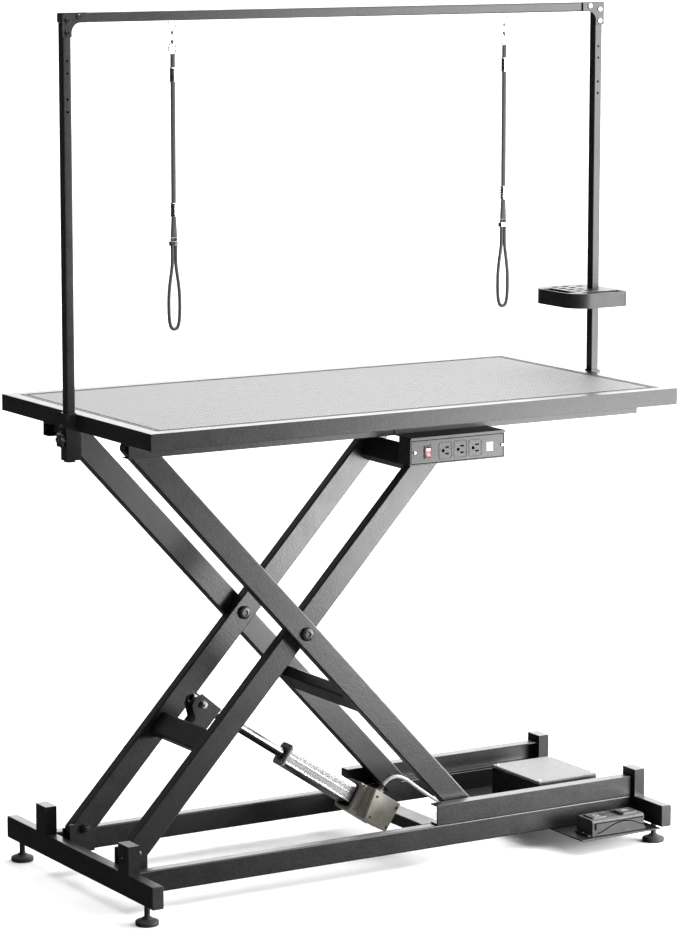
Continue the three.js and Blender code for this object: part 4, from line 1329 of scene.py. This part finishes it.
def add_hook(side, x, y, top):
    """Bent-wire snap hook: an upper bow held in the bar, a waist and a lower eye."""
    bow = [(4, 3), (8.4, -6), (6.5, -16), (1.2, -24), (0, -34), (0, -43)]
    other = [(-0.4, -24), (-6.8, -14), (-8.4, -5), (-4, 3)]
    bm = bmesh.new()
    first = smooth_path([(x + dx, y, top + dz) for dx, dz in bow])
    sweep(bm, first, ring_outline(1.25, 12))
    second = smooth_path([(x + dx, y + 0.4, top + dz) for dx, dz in other])
    sweep(bm, second, ring_outline(1.25, 12))
    piece = finish_piece(f"{side}_snap_hook", bm, "plate", "gantry", smooth=60)
    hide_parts(f"{side}_noose_hook")
    matrix = facing((x, y, top - 24.5), UP)
    new_piece(f"{side}_hook_collar", "plate", "gantry", stack,
              matrix, [(circle(1.6), -3), (circle(3.0), -2), (circle(3.0), 2), (circle(1.6), 3)])


def add_ring(side, x, y, body):
    """Oval swivel ring that the strap passes through."""
    middle = (NOOSE["ring_top"] + NOOSE["ring_low"]) / 2
    tall = (NOOSE["ring_top"] - NOOSE["ring_low"]) / 2 - 1.4
    steps = 40
    loops = []
    for step in range(steps):
        angle = 2 * math.pi * step / steps
        centre = Vector((x + 8.6 * math.cos(angle), y, middle + tall * math.sin(angle)))
        outward = Vector((math.cos(angle) / 8.6, 0, math.sin(angle) / tall)).normalized()
        loops.append([
            centre + outward * u + Vector(BACK) * v for u, v in ring_outline(1.5, 12)
        ])
    new_piece(f"{side}_noose_ring", "plate", body, loft, loops, closed=True, smooth=60)
    new_piece(f"{side}_ring_swivel", "plate", body, stack, facing((x, y, NOOSE["ring_top"] - 3), UP), [
        (circle(2.2), -2), (circle(3.6), 0), (circle(4.0), 3), (circle(3.2), 6), (circle(1.6), 7.4),
    ])


def add_ferrule(side, x, y, body):
    """Crimped plated sleeve that closes the strap round the ring."""
    low, high = NOOSE["ferrule"]
    layers = [(oval_shape(11.6, 8), low), (oval_shape(13, 9.4), low + 0.8)]
    for crimp in range(3):
        middle = low + 6 + crimp * 8.4
        layers += [
            (oval_shape(13, 9.4), middle - 1.6),
            (oval_shape(12.2, 8.4), middle),
            (oval_shape(13, 9.4), middle + 1.6),
        ]
    layers += [(oval_shape(13, 9.4), high - 0.8), (oval_shape(11.6, 8), high)]
    return new_piece(f"{side}_noose_ferrule", "plate", body, stack,
                     facing((x, y, 0), UP, up=BACK), layers)


def oval_shape(width, depth):
    """A rounded section, its width along the table and its depth across."""
    return rounded(width, depth, depth / 2 - 0.2)


def add_lock(side, x, y, body):
    """Ridged plated lock on the strap."""
    low, high = NOOSE["lock"]
    layers = [(oval_shape(11.4, 8.4), low)]
    ridges = 5
    pitch = (high - low) / ridges
    for ridge in range(ridges):
        z = low + ridge * pitch
        layers += [
            (oval_shape(11.8, 8.8), z + 0.3),
            (oval_shape(13.6, 10.4), z + pitch * 0.3),
            (oval_shape(13.6, 10.4), z + pitch * 0.7),
            (oval_shape(11.8, 8.8), z + pitch - 0.3),
        ]
    layers.append((oval_shape(11.4, 8.4), high))
    return new_piece(f"{side}_noose_lock", "plate", body, stack, facing((x, y, 0), UP, up=BACK), layers)


def add_strap(side, x, y, body, slider):
    """The woven strap from the ring to the slider, and the loop below it."""
    top = NOOSE["ring_low"] + 3
    low = NOOSE["slider"] + 12
    path = smooth_path([(x, y, top), (x, y, (top + low) / 2), (x, y, low)], 24)

    def section(share):
        z = top + (low - top) * share
        flare = min(max((NOOSE["lock"][0] - z) / (NOOSE["lock"][0] - low), 0), 1)
        return oval_outline(7, 10.6 + 5 * flare, 20)

    strap = new_piece(f"{side}_noose_strap", "strap", body, sweep, path, section, smooth=60)
    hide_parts(f"{side}_noose_cord")
    points = smooth_path(loop_points(x, y))
    loop = new_piece(f"{side}_noose_eye", "strap", body, sweep,
                     points, oval_outline(6.6, 7.4, 16), smooth=60)
    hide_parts(f"{side}_noose_loop")


def add_slider(side, x, y):
    """Plated bar that closes the loop."""
    node = f"{side}_noose_slider"
    low, high = box(node)
    matrix = facing((x, y, low.z), UP, up=BACK)
    piece = new_piece(f"{node}_bar", "plate", f"{side}_slider", frame_ring, matrix,
                      rounded(20, 11, 3), rounded(17.2, 8.8, 2.4), 0, high.z - low.z, ease=0.5)
    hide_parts(node)
    return piece


# ---------- everything together ----------

add_camera()
add_motor_cable()
add_noose("left")
add_noose("right")
add_base_details()
add_arm_details()
add_feet()
add_crossing_bolts()
add_control_box_details()
add_pedal()
add_actuator()
add_power_box_details()
add_mat_edging()
add_gantry_details()
for node_name, cad_node in NODES.items():
    if not cad_node.hide_render:
        finish_node(node_name, cad_node)
add_floor()
add_lights()
bpy.context.scene.view_settings.view_transform = "Standard"
